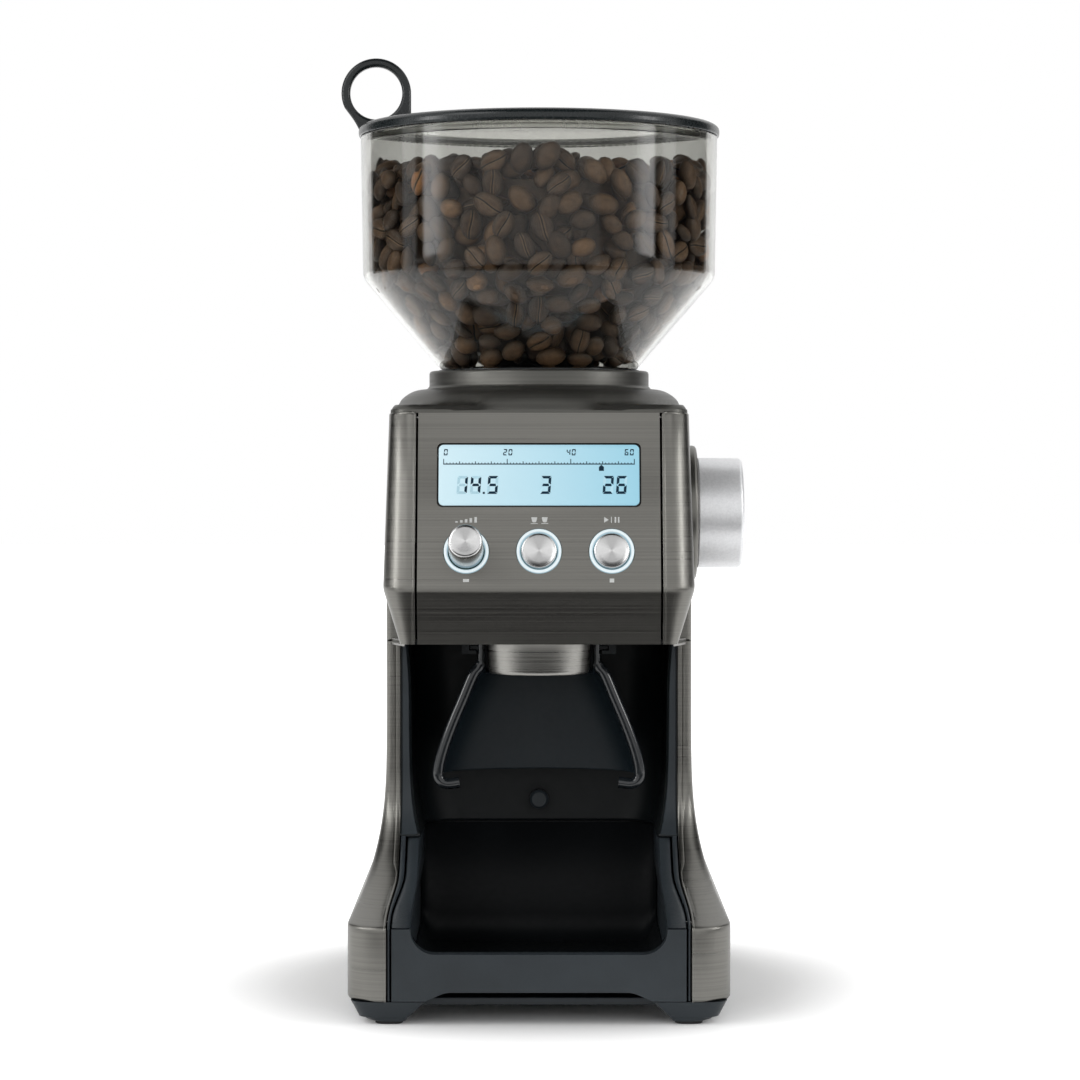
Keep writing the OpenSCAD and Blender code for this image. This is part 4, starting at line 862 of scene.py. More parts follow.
def control_pieces():
    """Three glowing rings, two push buttons and the knob, from left to right at the control pitch."""
    ring_profile = rounded(
        [(7.4, -2.4), (8.95, -2.4), (8.95, 0.45), (8.0, 0.6), (7.4, -0.7)], [0, 0, 0.25, 0.3, 0.2], 4
    )
    for i, name in ((-1, "knob_light_ring"), (0, "cups_light_ring"), (1, "start_light_ring")):
        nodes = ("light_rings",) if i == 0 else ()
        ring = local_turned(name, ring_profile)
        on_face(ring, i * CONTROL_PITCH, CONTROLS_UP, 0, "light_ring", "housing", nodes)
    button_profile = [(0, 0.95), (2.0, 0.97), (4.5, 1.05), (6.2, 1.25)]
    button_profile += arc(6.35, 0.65, 0.75, 80, 0, 6) + [(7.1, -2.7), (3, -2.7), (3, -7.4), (0, -7.4)]
    for i, body, node in ((0, "cups_key", "cups_button"), (1, "start_key", "start_button")):
        disc = local_turned(node + "_disc", button_profile)
        on_face(disc, i * CONTROL_PITCH, CONTROLS_UP, 0, "spun_steel", body, (node,))
    tip = 18.9
    knob_profile = [(0, tip - 0.35), (2.5, tip - 0.3), (4.4, tip - 0.05)]
    knob_profile += arc(5.3, tip - 1.5, 1.5, 88, 8, 7)
    knob_profile += [(6.85, tip - 4), (6.95, 4), (7.0, -0.4), (3.05, -0.4), (3.05, 12.2), (0, 12.2)]
    knob = local_turned("amount_knob_cap", knob_profile)
    on_face(knob, -CONTROL_PITCH, CONTROLS_UP, 0, "spun_steel", "amount_dial", ("amount_knob",))


def icon_marks():
    """Plain printed signs over the controls: rising bars, two cups, and start with pause. Below: dashes."""
    outlines = []
    x = -CONTROL_PITCH
    for k in range(5):
        outlines.append(rectangle(x - 4.4 + 1.9 * k, 0, x - 3.4 + 1.9 * k, 0.6 + 0.42 * k))
    cup = [(0, 2.2), (0.35, 0.5), (0.75, 0.1), (1.65, 0.1), (2.05, 0.5), (2.4, 2.2)]
    for offset in (-3.1, 1.1):
        outlines.append([(offset + cup_x, cup_y) for cup_x, cup_y in cup])
        outlines.append(rectangle(offset - 0.2, -0.5, offset + 2.6, -0.25))
    x = CONTROL_PITCH
    outlines.append([(x - 3.0, 0), (x - 3.0, 2.3), (x - 1.1, 1.15)])
    outlines.append(rectangle(x - 0.25, -0.1, x + 0.05, 2.4))
    outlines += [rectangle(x + 1.2, 0, x + 1.8, 2.3), rectangle(x + 2.5, 0, x + 3.1, 2.3)]
    low = [rectangle(-x - 1.2, -0.6, -x + 1.2, 0.6), rectangle(x - 0.9, -0.8, x + 0.9, 0.8)]
    for name, marks, up in (("control_signs", outlines, 11.6), ("control_signs_lower", low, -12.0)):
        signs = flat_marks(name, marks, 0.05)
        on_face(signs, 0, CONTROLS_UP + up, 0.0, "brushed_gunmetal", "housing", material="print_ink")


control_pieces()
icon_marks()


# ---------------------------------------------------------------- top cap

def cap_boundary(a):
    """Distance from the hopper axis to the edge of the cap in direction a."""
    hw, front, rear, r = HEAD_TOP_HW - 0.4, FACE_TOP_FRONT - 0.4, TOP_REAR - 0.4, 10.0
    dx, dy = math.cos(a), math.sin(a)
    low, high = 0.0, 200.0
    for _ in range(40):
        mid = (low + high) / 2
        x, y = abs(dx * mid), dy * mid
        depth = rear if y > 0 else front
        ex, ey = x - (hw - r), abs(y) - (depth - r)
        outside = (ex > r or ey > r) if min(ex, ey) <= 0 else math.hypot(ex, ey) > r
        low, high = (low, mid) if outside else (mid, high)
    return low


def cap_height(r, edge):
    """Height of the cap over its lower edge at a radius, where its boundary lies at radius edge."""
    dome_edge = min(edge, HEAD_TOP_HW - 0.4)
    share = unit((r - CAP_DOME_R) / (dome_edge - CAP_DOME_R))
    height = 3.4 + 7.0 * (1 - share ** 2.4)
    if r < CAP_FILLET_R:
        height += 1.4 * ((CAP_FILLET_R - r) / 1.7) ** 2
    from_edge = edge - r
    if from_edge < 3.0:
        height *= 1 - (1 - from_edge / 3.0) ** 2.4
        height = max(height, 1.4 * min(1.0, from_edge / 0.1))
    return height


def top_cap():
    """The cap follows the head's edge and rises to a dome and a collar round the hopper's seat."""
    segments = 144
    rows = []
    steps = 24
    for k in range(steps + 1):
        t = 0.5 - 0.5 * math.cos(math.pi * k / steps)
        row = []
        for j in range(segments):
            a = 2 * math.pi * j / segments
            edge = cap_boundary(a)
            r = edge + (CAP_COLLAR_R - edge) * t
            row.append((r * math.cos(a), r * math.sin(a), TOP_Z + cap_height(r, edge)))
        rows.append(row)
    top_z = cap_high.z
    rows += turned_rows([
        (CAP_COLLAR_R, top_z - 1.2), (45.8, top_z - 0.35), (45.1, top_z), (43.4, top_z),
        (42.7, top_z - 0.5), (42.6, top_z - 2), (42.6, TOP_Z),
    ], segments)
    rim = [[(x, y, TOP_Z) for x, y, _ in rows[0]]]
    grid_piece("cap_cover", rim + rows, "satin_grey_metal", "housing", close_columns=True, close_rows=True,
               replaces=("top_cap",), sharp=50)


top_cap()


# ---------------------------------------------------------------- hopper and lid

HOP_TOP = shell_high.z
HOP_R = shell_high.x
NECK_Z = shell_low.z
HOP_CREASE_Z = HOP_TOP - 59
CONE_Z = HOP_CREASE_Z - 38
CONE_R = 41.0
CREASE_R = HOP_R - 0.9
WALL = 2.0


def hopper_shell():
    outer = [
        (37.8, NECK_Z), (37.8, CONE_Z - 0.5), (CONE_R, CONE_Z - 0.4),
        (CREASE_R, HOP_CREASE_Z), (HOP_R, HOP_TOP),
    ]
    inner = [
        (HOP_R - WALL, HOP_TOP), (CREASE_R - WALL, HOP_CREASE_Z + 0.9), (37.2, CONE_Z - 2.1),
        (35.8, CONE_Z - 4), (35.8, NECK_Z),
    ]
    profile = rounded(outer + inner, [0.2, 0.6, 1.0, 2.6, 0.7, 0.7, 2.0, 1.0, 0, 0.2], 5)
    revolved("hopper_wall", profile, "smoked_clear", "hopper", segments=160, replaces=("hopper_shell",))


hopper_shell()

LID_Z = rim_low.z
LID_TOP = LID_Z + 5.0
LID_R = rim_high.x
DISC_R = LID_R - 9.6
RING_R = 14.6
RING_BORE = 10.9
RING_X = -(LID_R - RING_R / 2)
RING_Z = rim_high.z - RING_R


def lid():
    profile = rounded([
        (DISC_R, LID_Z), (LID_R - 0.3, LID_Z), (LID_R, LID_Z + 1), (LID_R, LID_TOP - 1.6),
        (LID_R - 2.2, LID_TOP - 0.2), (DISC_R + 3, LID_TOP), (DISC_R, LID_TOP - 1.2),
    ], [0.3, 0.3, 0.4, 1.2, 1.2, 1.0, 0.6], 4)
    revolved("lid_rim_band", profile, "black_plastic", "lid", segments=200)
    plug_r = disc_high.x
    clear = rounded([
        (0, LID_Z + 0.9), (DISC_R, LID_Z + 0.9), (DISC_R, LID_Z), (plug_r, LID_Z), (plug_r, disc_low.z),
        (plug_r - 2, disc_low.z), (DISC_R - 1, LID_Z - 1.1), (0, LID_Z - 1.1),
    ], [0, 0.3, 0, 0.4, 0.5, 0.5, 1, 0], 4)
    revolved("lid_window", clear, "smoked_clear", "lid", replaces=("lid_disc",))
    finger_ring()


def finger_ring():
    """The upright ring at the edge of the lid: a flat ring with a foot, its edges rounded."""
    foot_z = LID_TOP - 2.5
    outer = arc(RING_X, RING_Z, RING_R, 0, 205, 40)
    foot = rounded([outer[-1], (RING_X - RING_R * 0.62, RING_Z - RING_R * 0.80), (-LID_R + 0.5, foot_z),
                    (RING_X + RING_R, foot_z), outer[0]], [0, 4.0, 0, 0, 0], 8)
    piece = prism(
        "lid_finger_ring", outer + foot[1:-1], -2.4, 2.4, "y", "black_plastic", "lid", replaces=("lid_rim",)
    )
    facing_y = Matrix.Rotation(math.radians(90), 4, "X")
    bore = Matrix.Translation((RING_X / MM, 0, RING_Z / MM)) @ facing_y
    cut_with(piece, cutter_cylinder(RING_BORE, 6, bore))
    piece.data.set_sharp_from_angle(angle=math.radians(35))
    soften(piece, 1.5, 5, 45)


lid()


# ---------------------------------------------------------------- beans

def bean_mesh():
    """One coffee bean: a flattened half dome with a curved groove on its flat side. Unit: millimetres.

    Returns its points, its faces and each point's place on the round ball it is shaped from.
    """
    half_length, half_width, round_height, flat_height = 5.1, 3.65, 2.55, 1.55
    bm = bmesh.new()
    bmesh.ops.create_uvsphere(bm, u_segments=14, v_segments=10, radius=1)
    places = [tuple(v.co) for v in bm.verts]
    for v in bm.verts:
        x, y, z = v.co
        round_side = z > 0
        z = z * (round_height if round_side else flat_height)
        if not round_side:
            sway = GROOVE_SWAY * math.sin(GROOVE_RATE * x)
            groove = math.exp(-((y - sway) / 0.17) ** 2) * max(0.0, 1 - abs(x) ** 3)
            z += 0.95 * groove
        v.co = (x * half_length, y * half_width, z)
    verts = [tuple(v.co) for v in bm.verts]
    faces = [tuple(v.index for v in f.verts) for f in bm.faces]
    bm.free()
    return verts, faces, places


def hopper_inner_r(z):
    if z > HOP_CREASE_Z:
        return HOP_R - WALL - 0.2 - 0.9 * (HOP_TOP - z) / (HOP_TOP - HOP_CREASE_Z)
    return CONE_BORE_R + (CREASE_R - WALL - CONE_BORE_R) * (z - CONE_Z) / (HOP_CREASE_Z - CONE_Z)


def wall_outward(a, z):
    """Outward direction of the hopper's wall in direction a at height z."""
    slope = 0.0 if z > HOP_CREASE_Z else -(CREASE_R - WALL - CONE_BORE_R) / (HOP_CREASE_Z - CONE_Z)
    return Vector((math.cos(a), math.sin(a), slope)).normalized()


def spread_out(spots, point, spacing):
    return all((point - other).length_squared > spacing ** 2 for other, _ in spots)


def heap_top(a):
    """Height of the heap at the wall: a little uneven."""
    return HOP_TOP - HEAP_DOWN + 2.2 * math.sin(3 * a + 0.4) + 1.4 * math.sin(7 * a)


def wall_layer(rng, depth, spacing, tries):
    """Places for the beans that lie against the wall, or a layer further in."""
    layer = []
    for _ in range(tries):
        z = rng.uniform(CONE_Z + 1.2, HOP_TOP - 11)
        a = rng.uniform(0, 2 * math.pi)
        if z > heap_top(a):
            continue
        outward = wall_outward(a, z)
        r = hopper_inner_r(z)
        point = Vector((r * math.cos(a), r * math.sin(a), z)) - outward * (depth + rng.uniform(0, 0.8))
        if spread_out(layer, point, spacing):
            layer.append((point, outward))
    return layer


def heap_layer(rng, tries, spacing):
    heap = []
    reach = hopper_inner_r(HOP_TOP - 15) - 5
    for _ in range(tries):
        r = reach * math.sqrt(rng.uniform(0, 1))
        a = rng.uniform(0, 2 * math.pi)
        z = heap_top(a) * (r / reach) + (HOP_TOP - HEAP_DOWN) * (1 - r / reach) + rng.uniform(-1.6, 1.6)
        point = Vector((r * math.cos(a), r * math.sin(a), z))
        if spread_out(heap, point, spacing):
            heap.append((point, Vector((rng.uniform(-0.5, 0.5), rng.uniform(-0.5, 0.5), 1)).normalized()))
    return heap


def placed_bean(rng, shape, point, outward, lean, at_wall):
    """The bean's points at its place. A bean at the wall is moved in or out until it touches the wall."""
    turn = outward.to_track_quat("Z", "Y").to_matrix()
    spin = Matrix.Rotation(rng.uniform(0, 2 * math.pi), 3, "Z")
    flip = Matrix.Rotation(math.pi if rng.random() < 0.4 else 0.0, 3, "X")
    tilt = Matrix.Rotation(rng.gauss(0, lean), 3, "X") @ Matrix.Rotation(rng.gauss(0, lean), 3, "Y")
    pose = turn @ spin @ tilt @ flip
    size = rng.uniform(1.05, 1.3)
    moved = [point + (pose @ Vector(v)) * size for v in shape]
    excess = max(math.hypot(p.x, p.y) - (hopper_inner_r(p.z) - 0.35) for p in moved)
    if excess > 0 or at_wall:
        shift = Vector((point.x, point.y, 0)).normalized() * excess
        moved = [p - shift for p in moved]
    lowest = min(p.z for p in moved)
    if lowest < CONE_Z + 0.5:
        moved = [p + Vector((0, 0, CONE_Z + 0.5 - lowest)) for p in moved]
    return moved


def beans():
    rng = random.Random(11)
    shape, shape_faces, shape_places = bean_mesh()
    layers = (
        (wall_layer(rng, 3.4, 7.9, 5200), 0.20, True),
        (wall_layer(rng, 7.4, 8.0, 2600), 0.5, False),
        (heap_layer(rng, 2600, 7.8), 0.45, False),
    )
    verts, faces, places = [], [], []
    for spots, lean, at_wall in layers:
        for point, outward in spots:
            start = len(verts)
            places += shape_places
            verts += placed_bean(rng, shape, point, outward, lean, at_wall)
            faces += [tuple(start + i for i in f) for f in shape_faces]
    piece = make_piece(
        "coffee_beans", verts, faces, "charcoal_plastic", "hopper",
        material="roasted_beans", sharp=180, weld=False,
    )
    own_place = piece.data.attributes.new("bean_place", "FLOAT_VECTOR", "POINT")
    own_place.data.foreach_set("vector", [value for place in places for value in place])
    core = [(0, HOP_TOP - 21)]
    core += [(hopper_inner_r(z) - 10, z) for z in (HOP_TOP - 23, HOP_CREASE_Z, HOP_CREASE_Z - 18)]
    core += [(28, CONE_Z + 8), (0, CONE_Z + 8)]
    revolved("bean_heap_core", core, "charcoal_plastic", "hopper", segments=48, material="roasted_beans")


beans()


# ---------------------------------------------------------------- dial

def turned_along_x(name, profile, slot, body, z, replaces):
    """Turns an (r, x) profile round an axis along X, in a frame whose Z lies along that axis."""
    piece = local_turned(name, profile, 128)
    piece.matrix_world = Matrix.Translation((0, 0, z / MM)) @ Matrix.Rotation(math.radians(90), 4, "Y")
    finish_piece(piece, slot, body, replaces)


def dial():
    """The grind size dial on the right, and the round boss on the panel that it turns against."""
    near, far = dial_low.x, dial_high.x
    profile = [(0, far - 4), (0, far - 0.15), (DIAL_R * 0.5, far - 0.2), (DIAL_R - 2.4, far - 0.55)]
    profile += arc(DIAL_R - 2.1, far - 2.4, 1.9, 88, 5, 7)
    profile += [(DIAL_R, near + 0.5), (DIAL_R - 0.4, near), (DIAL_R - 2.6, near), (DIAL_R - 2.6, far - 4)]
    turned_along_x("grind_dial_cap", profile, "silver_aluminium", "grind_dial", DIAL_Z, ("grind_size_dial",))
    boss_r = (bezel_high.z - bezel_low.z) / 2
    low, high = bezel_low.x - 0.5, bezel_high.x
    boss = [(9, low), (boss_r, low), (boss_r, high - 1.8)]
    boss += arc(boss_r - 1.6, high - 1.6, 1.6, 0, 90, 5)
    boss += [(DIAL_R + 1.2, high), (DIAL_R + 0.6, high - 0.8), (DIAL_R - 3, high - 0.8), (9, high - 0.8)]
    turned_along_x("dial_boss", boss, "brushed_gunmetal", "housing", DIAL_Z, ("dial_bezel",))


dial()


# ---------------------------------------------------------------- outlet and bay

def outlet():
    r, foot, top = OUTLET_R, outlet_low.z, outlet_high.z
    profile = rounded([
        (r - 3.2, top), (r, top), (r, HEAD_Z - 2), (r - 0.8, foot + 1.0), (r - 1.3, foot), (r - 3.2, foot),
    ], [0, 0, 1, 0.6, 0.3, 0.2], 4)
    # The shroud takes the brighter copy of the gunmetal, as painted light.
    revolved("outlet_shroud", profile, "brushed_gunmetal", "housing", (0, OUTLET_Y), 96,
             replaces=("outlet_collar",), material="outlet_metal_painted_light")


outlet()


def liner_inner_x(z):
    """Half width of the bay at its front: it draws in above the tray and widens a little under the head."""
    low = 4.6 * math.exp(-(z - TRAY_TOP_Z) / 11)
    top = 1.4 * max(0.0, (z - 125) / (HEAD_Z - 125)) ** 1.5
    return 53.2 - low + top


def bay_liner():
    """Inner skin of the bay: a deep U in plan, with rounded rear corners, swept down the column."""
    levels = [HEAD_Z - (HEAD_Z - TRAY_TOP_Z - 0.3) * (1 - (1 - k / 28) ** 1.3) for k in range(29)]
    rows = []
    for z in levels:
        x = liner_inner_x(z)
        front = -front_edge(z) + 1.7
        r = 16.0
        wide = LINER_HW - 0.8
        half = [(wide, BAY_BACK), (wide, front + 0.8), (wide - 0.5, front), (x + 0.6, front)]
        half += [(x, front + 0.7), (x, (front + BAY_BACK - r) / 2)]
        half += arc(x - r, BAY_BACK - r, r, 0, 90, 8)
        row = [(px, py, z) for px, py in half] + [(-px, py, z) for px, py in reversed(half)]
        rows.append(row)
    skin = grid_piece("bay_skin", rows, "gloss_black_plastic", "housing", replaces=("bay_liner",), sharp=30)
    thicken(skin, 0.8, 1)
    for side, name in ((-1, "bay_edge_left"), (1, "bay_edge_right")):
        edge_strip(name, side)


def edge_strip(name, side):
    """The charcoal edge of the liner that shows between the side panel and the tray."""
    rows = []
    levels = [FOOT_Z + 0.5, BASE_TOP_Z - 1.4]
    levels += [BASE_TOP_Z - 0.6 + (TRAY_TOP_Z + 1.3 - BASE_TOP_Z) * (k / 18) for k in range(19)]
    levels += [TRAY_TOP_Z + 0.75 + (HEAD_Z - TRAY_TOP_Z - 0.75) * (k / 16) ** 1.3 for k in range(17)]
    for z in levels:
        front = -front_edge(max(z, BASE_TOP_Z)) + 0.7
        outer = metal_in(z) - 0.5
        inner = tray_outer_x(z) + 0.7 if z < TRAY_TOP_Z + 0.72 else liner_inner_x(z)
        row = [(outer, front + 8), (outer, front + 0.4), (outer - 0.3, front)]
        row += [(inner + 0.3, front), (inner, front + 0.4), (inner, front + 8)]
        rows.append([(side * x, y, z) for x, y in row])
    grid_piece(name, rows, "charcoal_plastic", "housing", close_columns=True, sharp=40)


def lower_liner():
    """The part of the liner behind and beside the tray, in a left and a right half."""
    x, back, front = LINER_HW, BAY_BACK, -36.0
    half = [(x, front), (x, back + 1.8), (0, back + 1.8)]
    half += [(0, back + 0.1), (x - 1.1, back + 0.1), (x - 1.1, front)]
    for side, name in ((1, "tray_bay_right"), (-1, "tray_bay_left")):
        outline = [(side * px, py) for px, py in half]
        prism(name, outline, FOOT_Z + 0.3, TRAY_TOP_Z, "z", "gloss_black_plastic", "housing")


bay_liner()
lower_liner()


# ---------------------------------------------------------------- cradle

CRADLE_HW = cradle_high.x
CRADLE_FRONT = cradle_low.y
CRADLE_BACK = cradle_high.y
CRADLE_FOOT = cradle_low.z
STALK_X = OUTLET_R + 3.7


def cradle_side_path():
    """Centre line of one arm seen from the front, from the stalk down to the hook."""
    stalk = (
        (-1.4, -0.6), (-1.4, -8.0), (-0.6, -11.0), (2.0, -14.5), (6.0, -24), (10.4, -34.5), (14.0, -44.6),
    )
    hook = ((-2.0, 8.2), (-2.2, 4.0), (-5.0, 1.9), (-10.6, 2.4))
    points = [(STALK_X + x, HEAD_Z + z) for x, z in stalk]
    points += [(CRADLE_HW + x, CRADLE_FOOT + z) for x, z in hook]
    return smooth_line(points, 6)


def smooth_line(points, per_span):
    """A Catmull-Rom curve through points of any dimension."""
    p = [Vector(q) for q in points]
    p = [2 * p[0] - p[1]] + p + [2 * p[-1] - p[-2]]
    line = []
    for i in range(1, len(p) - 2):
        for k in range(per_span):
            t = k / per_span
            line.append(0.5 * (
                2 * p[i] + (p[i + 1] - p[i - 1]) * t
                + (2 * p[i - 1] - 5 * p[i] + 4 * p[i + 1] - p[i + 2]) * t * t
                + (3 * p[i] - p[i - 1] - 3 * p[i + 1] + p[i + 2]) * t ** 3
            ))
    line.append(p[-2])
    return line


def tube_rows(line, radii, sides=14):
    """Rings round a 3-D line. radii gives (across, along the second direction) for each point."""
    turns = [2 * math.pi * k / sides for k in range(sides)]
    rows = []
    for i, point in enumerate(line):
        ahead = line[min(i + 1, len(line) - 1)] - line[max(i - 1, 0)]
        ahead.normalize()
        side = ahead.cross(Vector((0, 1, 0))).normalized()
        other = side.cross(ahead).normalized()
        a, b = radii[i]
        rows.append([tuple(point + side * a * math.cos(t) + other * b * math.sin(t)) for t in turns])
    return rows


def cradle():
    """Two bent arms, the hood between them and the two tongues that run in the slots of the head."""
    path = cradle_side_path()
    for side, name in ((-1, "cradle_arm_left"), (1, "cradle_arm_right")):
        line = [Vector((side * x, CRADLE_FRONT + 2.4, z)) for x, z in path]
        rings = tube_rows(line, [(1.5 if z > HEAD_Z - 9 else 2.3, 2.4) for _, z in path])
        grid_piece(name, rings, "gloss_black_plastic", "cradle", close_columns=True, caps=True,
                   material="cradle_arm", sharp=60)
    # the hood between the arms: a deep curve at the back, drawn in towards its top, clear of the outlet
    rows = []
    arms = [p for p in path if CRADLE_FOOT + 4 < p[1] < HEAD_Z - 8.5]
    columns = 28
    depth = CRADLE_BACK - CRADLE_FRONT - 4.6
    for x, z in arms:
        row = []
        for k in range(columns + 1):
            a = math.pi * k / columns
            across = x * math.cos(a)
            under_outlet = min(z, outlet_low.z - 1) if abs(across) < OUTLET_R + 1.5 else z
            row.append((across, CRADLE_FRONT + 2.6 + depth * math.sin(a) ** 0.6, under_outlet))
        rows.append(row)
    shell = grid_piece(
        "cradle_shell", rows, "gloss_black_plastic", "cradle",
        material="cradle_hood", replaces=("portafilter_cradle",), sharp=60,
    )
    thicken(shell, 1.6, 0)
    for side, name in ((-1, "cradle_tongue_left"), (1, "cradle_tongue_right")):
        tongue = rectangle(STALK_X - 2.4, HEAD_Z - 3.8, STALK_X + 3, HEAD_Z - 2.2)
        outline = [(side * x, z) for x, z in tongue]
        prism(name, outline, CRADLE_FRONT + 1, CRADLE_BACK, "y", "gloss_black_plastic", "cradle", 0.2)


cradle()


# ---------------------------------------------------------------- tray

TRAY_HW = tray_high.x
TRAY_IN = TRAY_HW - 7
TRAY_FRONT = tray_low.y
TRAY_BACK = tray_high.y
TRAY_Z = tray_low.z
LIP_Z = 28.1
TRAY_FLOOR = TRAY_Z + 6.5


def tray_front():
    """Front wall: a low lip that turns up into the arms, with a flat arch cut under it."""
    end = tray_outer_x(TRAY_Z)
    outline = [(end, TRAY_Z), (end, BASE_TOP_Z - 0.6), (TRAY_IN, BASE_TOP_Z - 0.6)]
    outline += arc(TRAY_IN - 9.5, LIP_Z + 9.5, 9.5, 0, -90, 12)[1:]
    left = [(-x, z) for x, z in reversed(outline)]
    arch = [(-44.7, TRAY_Z), (-36.6, TRAY_Z + 3.5), (36.6, TRAY_Z + 3.5), (44.7, TRAY_Z)]
    full = outline + left + rounded(arch, [0.8, 2.2, 2.2, 0.8], 4)
    front = prism("tray_front", full, TRAY_FRONT, TRAY_FRONT + 6.6, "y", "charcoal_plastic", "tray",
                  replaces=("grounds_tray",))
    soften(front, 1.1, 3, 35)


def arm_front(z):
    """Where the front of a tray arm lies at height z: a little behind the sweep of the base."""
    if z < BASE_TOP_Z:
        return TRAY_FRONT + 1.5
    return -front_edge(z) + 0.6 + 1.2 * min(1.0, (z - BASE_TOP_Z) / 6)


def tray_arm(name, side):
    """One arm of the tray: it sweeps up and back from the front corner to the column."""
    levels = [TRAY_Z, TRAY_Z + 0.8, BASE_TOP_Z - 1]
    levels += [BASE_TOP_Z + (TRAY_TOP_Z - BASE_TOP_Z) * (k / 16) ** 1.3 for k in range(17)]
    rows = []
    for z in levels:
        outer, inner = tray_outer_x(z), TRAY_IN - 1.6 * (1 - shoulder(z))
        front = arm_front(z)
        ring = [(inner, TRAY_BACK), (inner, front + 1.8), (inner + 0.5, front + 0.5), (inner + 1.8, front)]
        ring += [(outer - 1.6, front), (outer - 0.4, front + 0.4), (outer, front + 1.6), (outer, TRAY_BACK)]
        rows.append([(side * x, y, z) for x, y in ring])
    front_points = (2, 3, 4, 5)
    top = [(x, y + (0.6 if i in front_points else 0), TRAY_TOP_Z) for i, (x, y, _) in enumerate(rows[-1])]
    rows[-1] = [(x, y, TRAY_TOP_Z - 0.6) for x, y, _ in rows[-1]]
    rows.append(top)
    grid_piece(name, rows, "charcoal_plastic", "tray", close_columns=True, caps=True, sharp=35)


def tray():
    """The tray: its front, its arms, and a well whose floor curves up on every side."""
    tray_front()
    for side, name in ((-1, "tray_arm_left"), (1, "tray_arm_right")):
        tray_arm(name, side)
    rows = []
    columns = 28
    profile = rounded([
        (TRAY_FRONT + 6.0, LIP_Z - 0.5), (TRAY_FRONT + 9, TRAY_FLOOR),
        (TRAY_BACK - 3.2, TRAY_FLOOR), (TRAY_BACK - 1.4, TRAY_TOP_Z - 0.3),
    ], [0, 7, 12, 0], 8, closed=False)
    for y, z in profile:
        rise = max(0.0, (z - TRAY_FLOOR) / (TRAY_TOP_Z - TRAY_FLOOR))
        row = []
        for k in range(columns + 1):
            x = -TRAY_IN + 2 * TRAY_IN * k / columns
            side = max(0.0, abs(x) - (TRAY_IN - 9)) / 9
            lift = 9 * (1 - math.sqrt(max(0.0, 1 - side ** 2)))
            row.append((x, y - 5 * rise * side ** 2, min(TRAY_TOP_Z, z + lift * (1 - rise))))
        rows.append(row)
    # The well takes the darker copy of the charcoal plastic, as painted shade.
    well = grid_piece("tray_well", rows, "charcoal_plastic", "tray", material="shaded_tray_inside", sharp=40)
    thicken(well, 1.0, -1)


tray()


# ---------------------------------------------------------------- base and rear

def base():
    """Chassis plate, four splayed feet and the round boss under the tray."""
    plate_z = FOOT_Z - 3
    hw, front, rear = BASE_HW - 1, -BASE_FRONT + 12, BASE_REAR - 1
    outline = rounded(rectangle(-hw, front, hw, rear), 9, 6)
    plate = prism("chassis_plate", outline, plate_z, FOOT_Z, "z", "charcoal_plastic", "housing",
                  replaces=("base_chassis",))
    soften(plate, 0.5, 2, 50)
    for side in (-1, 1):
        for y, place in ((-BASE_FRONT + 1, "front"), (BASE_REAR - 31, "rear")):
            splayed_foot("foot_{}_{}".format(place, "left" if side < 0 else "right"), side, y)
    boss = rounded([
        (0, 4.6), (12, 4.8), (19, 5.4), (24, plate_z + 0.2), (24, plate_z + 1), (0, plate_z + 1),
    ], [0, 3, 3, 0.5, 0, 0], 4)
    revolved("underside_boss", boss, "charcoal_plastic", "housing", (0, -66), 64)


def splayed_foot(name, side, y):
    """A foot that narrows downwards on every side, over a rubber pad."""
    rows = []
    levels = ((FOOT_Z, 0.0, 0.0), (FOOT_Z - 0.8, 0.1, 0.4), (FOOT_Z - 6.4, 0.86, 3.0))
    levels += ((3.0, 0.95, 4.4), (1.9, 1.0, 6.0), (1.3, 1.06, 8.0))
    for z, share, drawn_in in levels:
        inner, outer = 44.4 + 7.4 * share, BASE_HW - 1.6 - drawn_in
        front, back = y + 3.0 * share, y + 30 - 3.0 * share
        ring = rounded(rectangle(inner, front, outer, back), [3, 7, 7, 3], 5)
        rows.append([(side * px, py, z) for px, py in ring])
    grid_piece(name, rows, "charcoal_plastic", "housing", close_columns=True, caps=True, sharp=45)
    pad = rounded(rectangle(53.4, y + 4.5, 64.4, y + 25.5), 4, 5)
    prism(name + "_pad", [(side * px, py) for px, py in pad], 0, 1.6, "z", "rubber", "housing", 0.4,
          replaces=("rubber_feet",) if "front_left" in name else ())


base()


# ---------------------------------------------------------------- materials on the CAD nodes

SLOT_OF = {entry["node"]: entry["material_slot"] for entry in frame["record"]["subparts"]}
for node_name, node in frame["nodes"].items():
    node.data.materials.clear()
    node.data.materials.append(MATERIALS[SLOT_OF[node_name]])
    smooth(node.data, 28)
for node_name in ("rear_cover", "head_floor", "cord_gland", "hopper_base_ring", "lock_dial"):
    soften(frame["nodes"][node_name], 0.5, 2, 50)


# ---------------------------------------------------------------- camera, light and stage, in metres

def camera():
    data = bpy.data.cameras.new("camera")
    data.sensor_width = 36
    data.lens = 102.8333333
    data.clip_start = 0.05
    data.clip_end = 20
    cam = add_object("camera", data)
    cam.location = (0.0004, -1.3, 0.225)
    cam.rotation_euler = (math.radians(90 - 1.67), 0, 0)
    bpy.context.scene.camera = cam


def area_light(name, place, aim, size, power):
    data = bpy.data.lights.new(name, "AREA")
    data.shape = "RECTANGLE"
    data.size, data.size_y = size
    data.energy = power
    light = add_object(name, data)
    light.location = place
    light.rotation_euler = (Vector(aim) - Vector(place)).to_track_quat("-Z", "Y").to_euler()


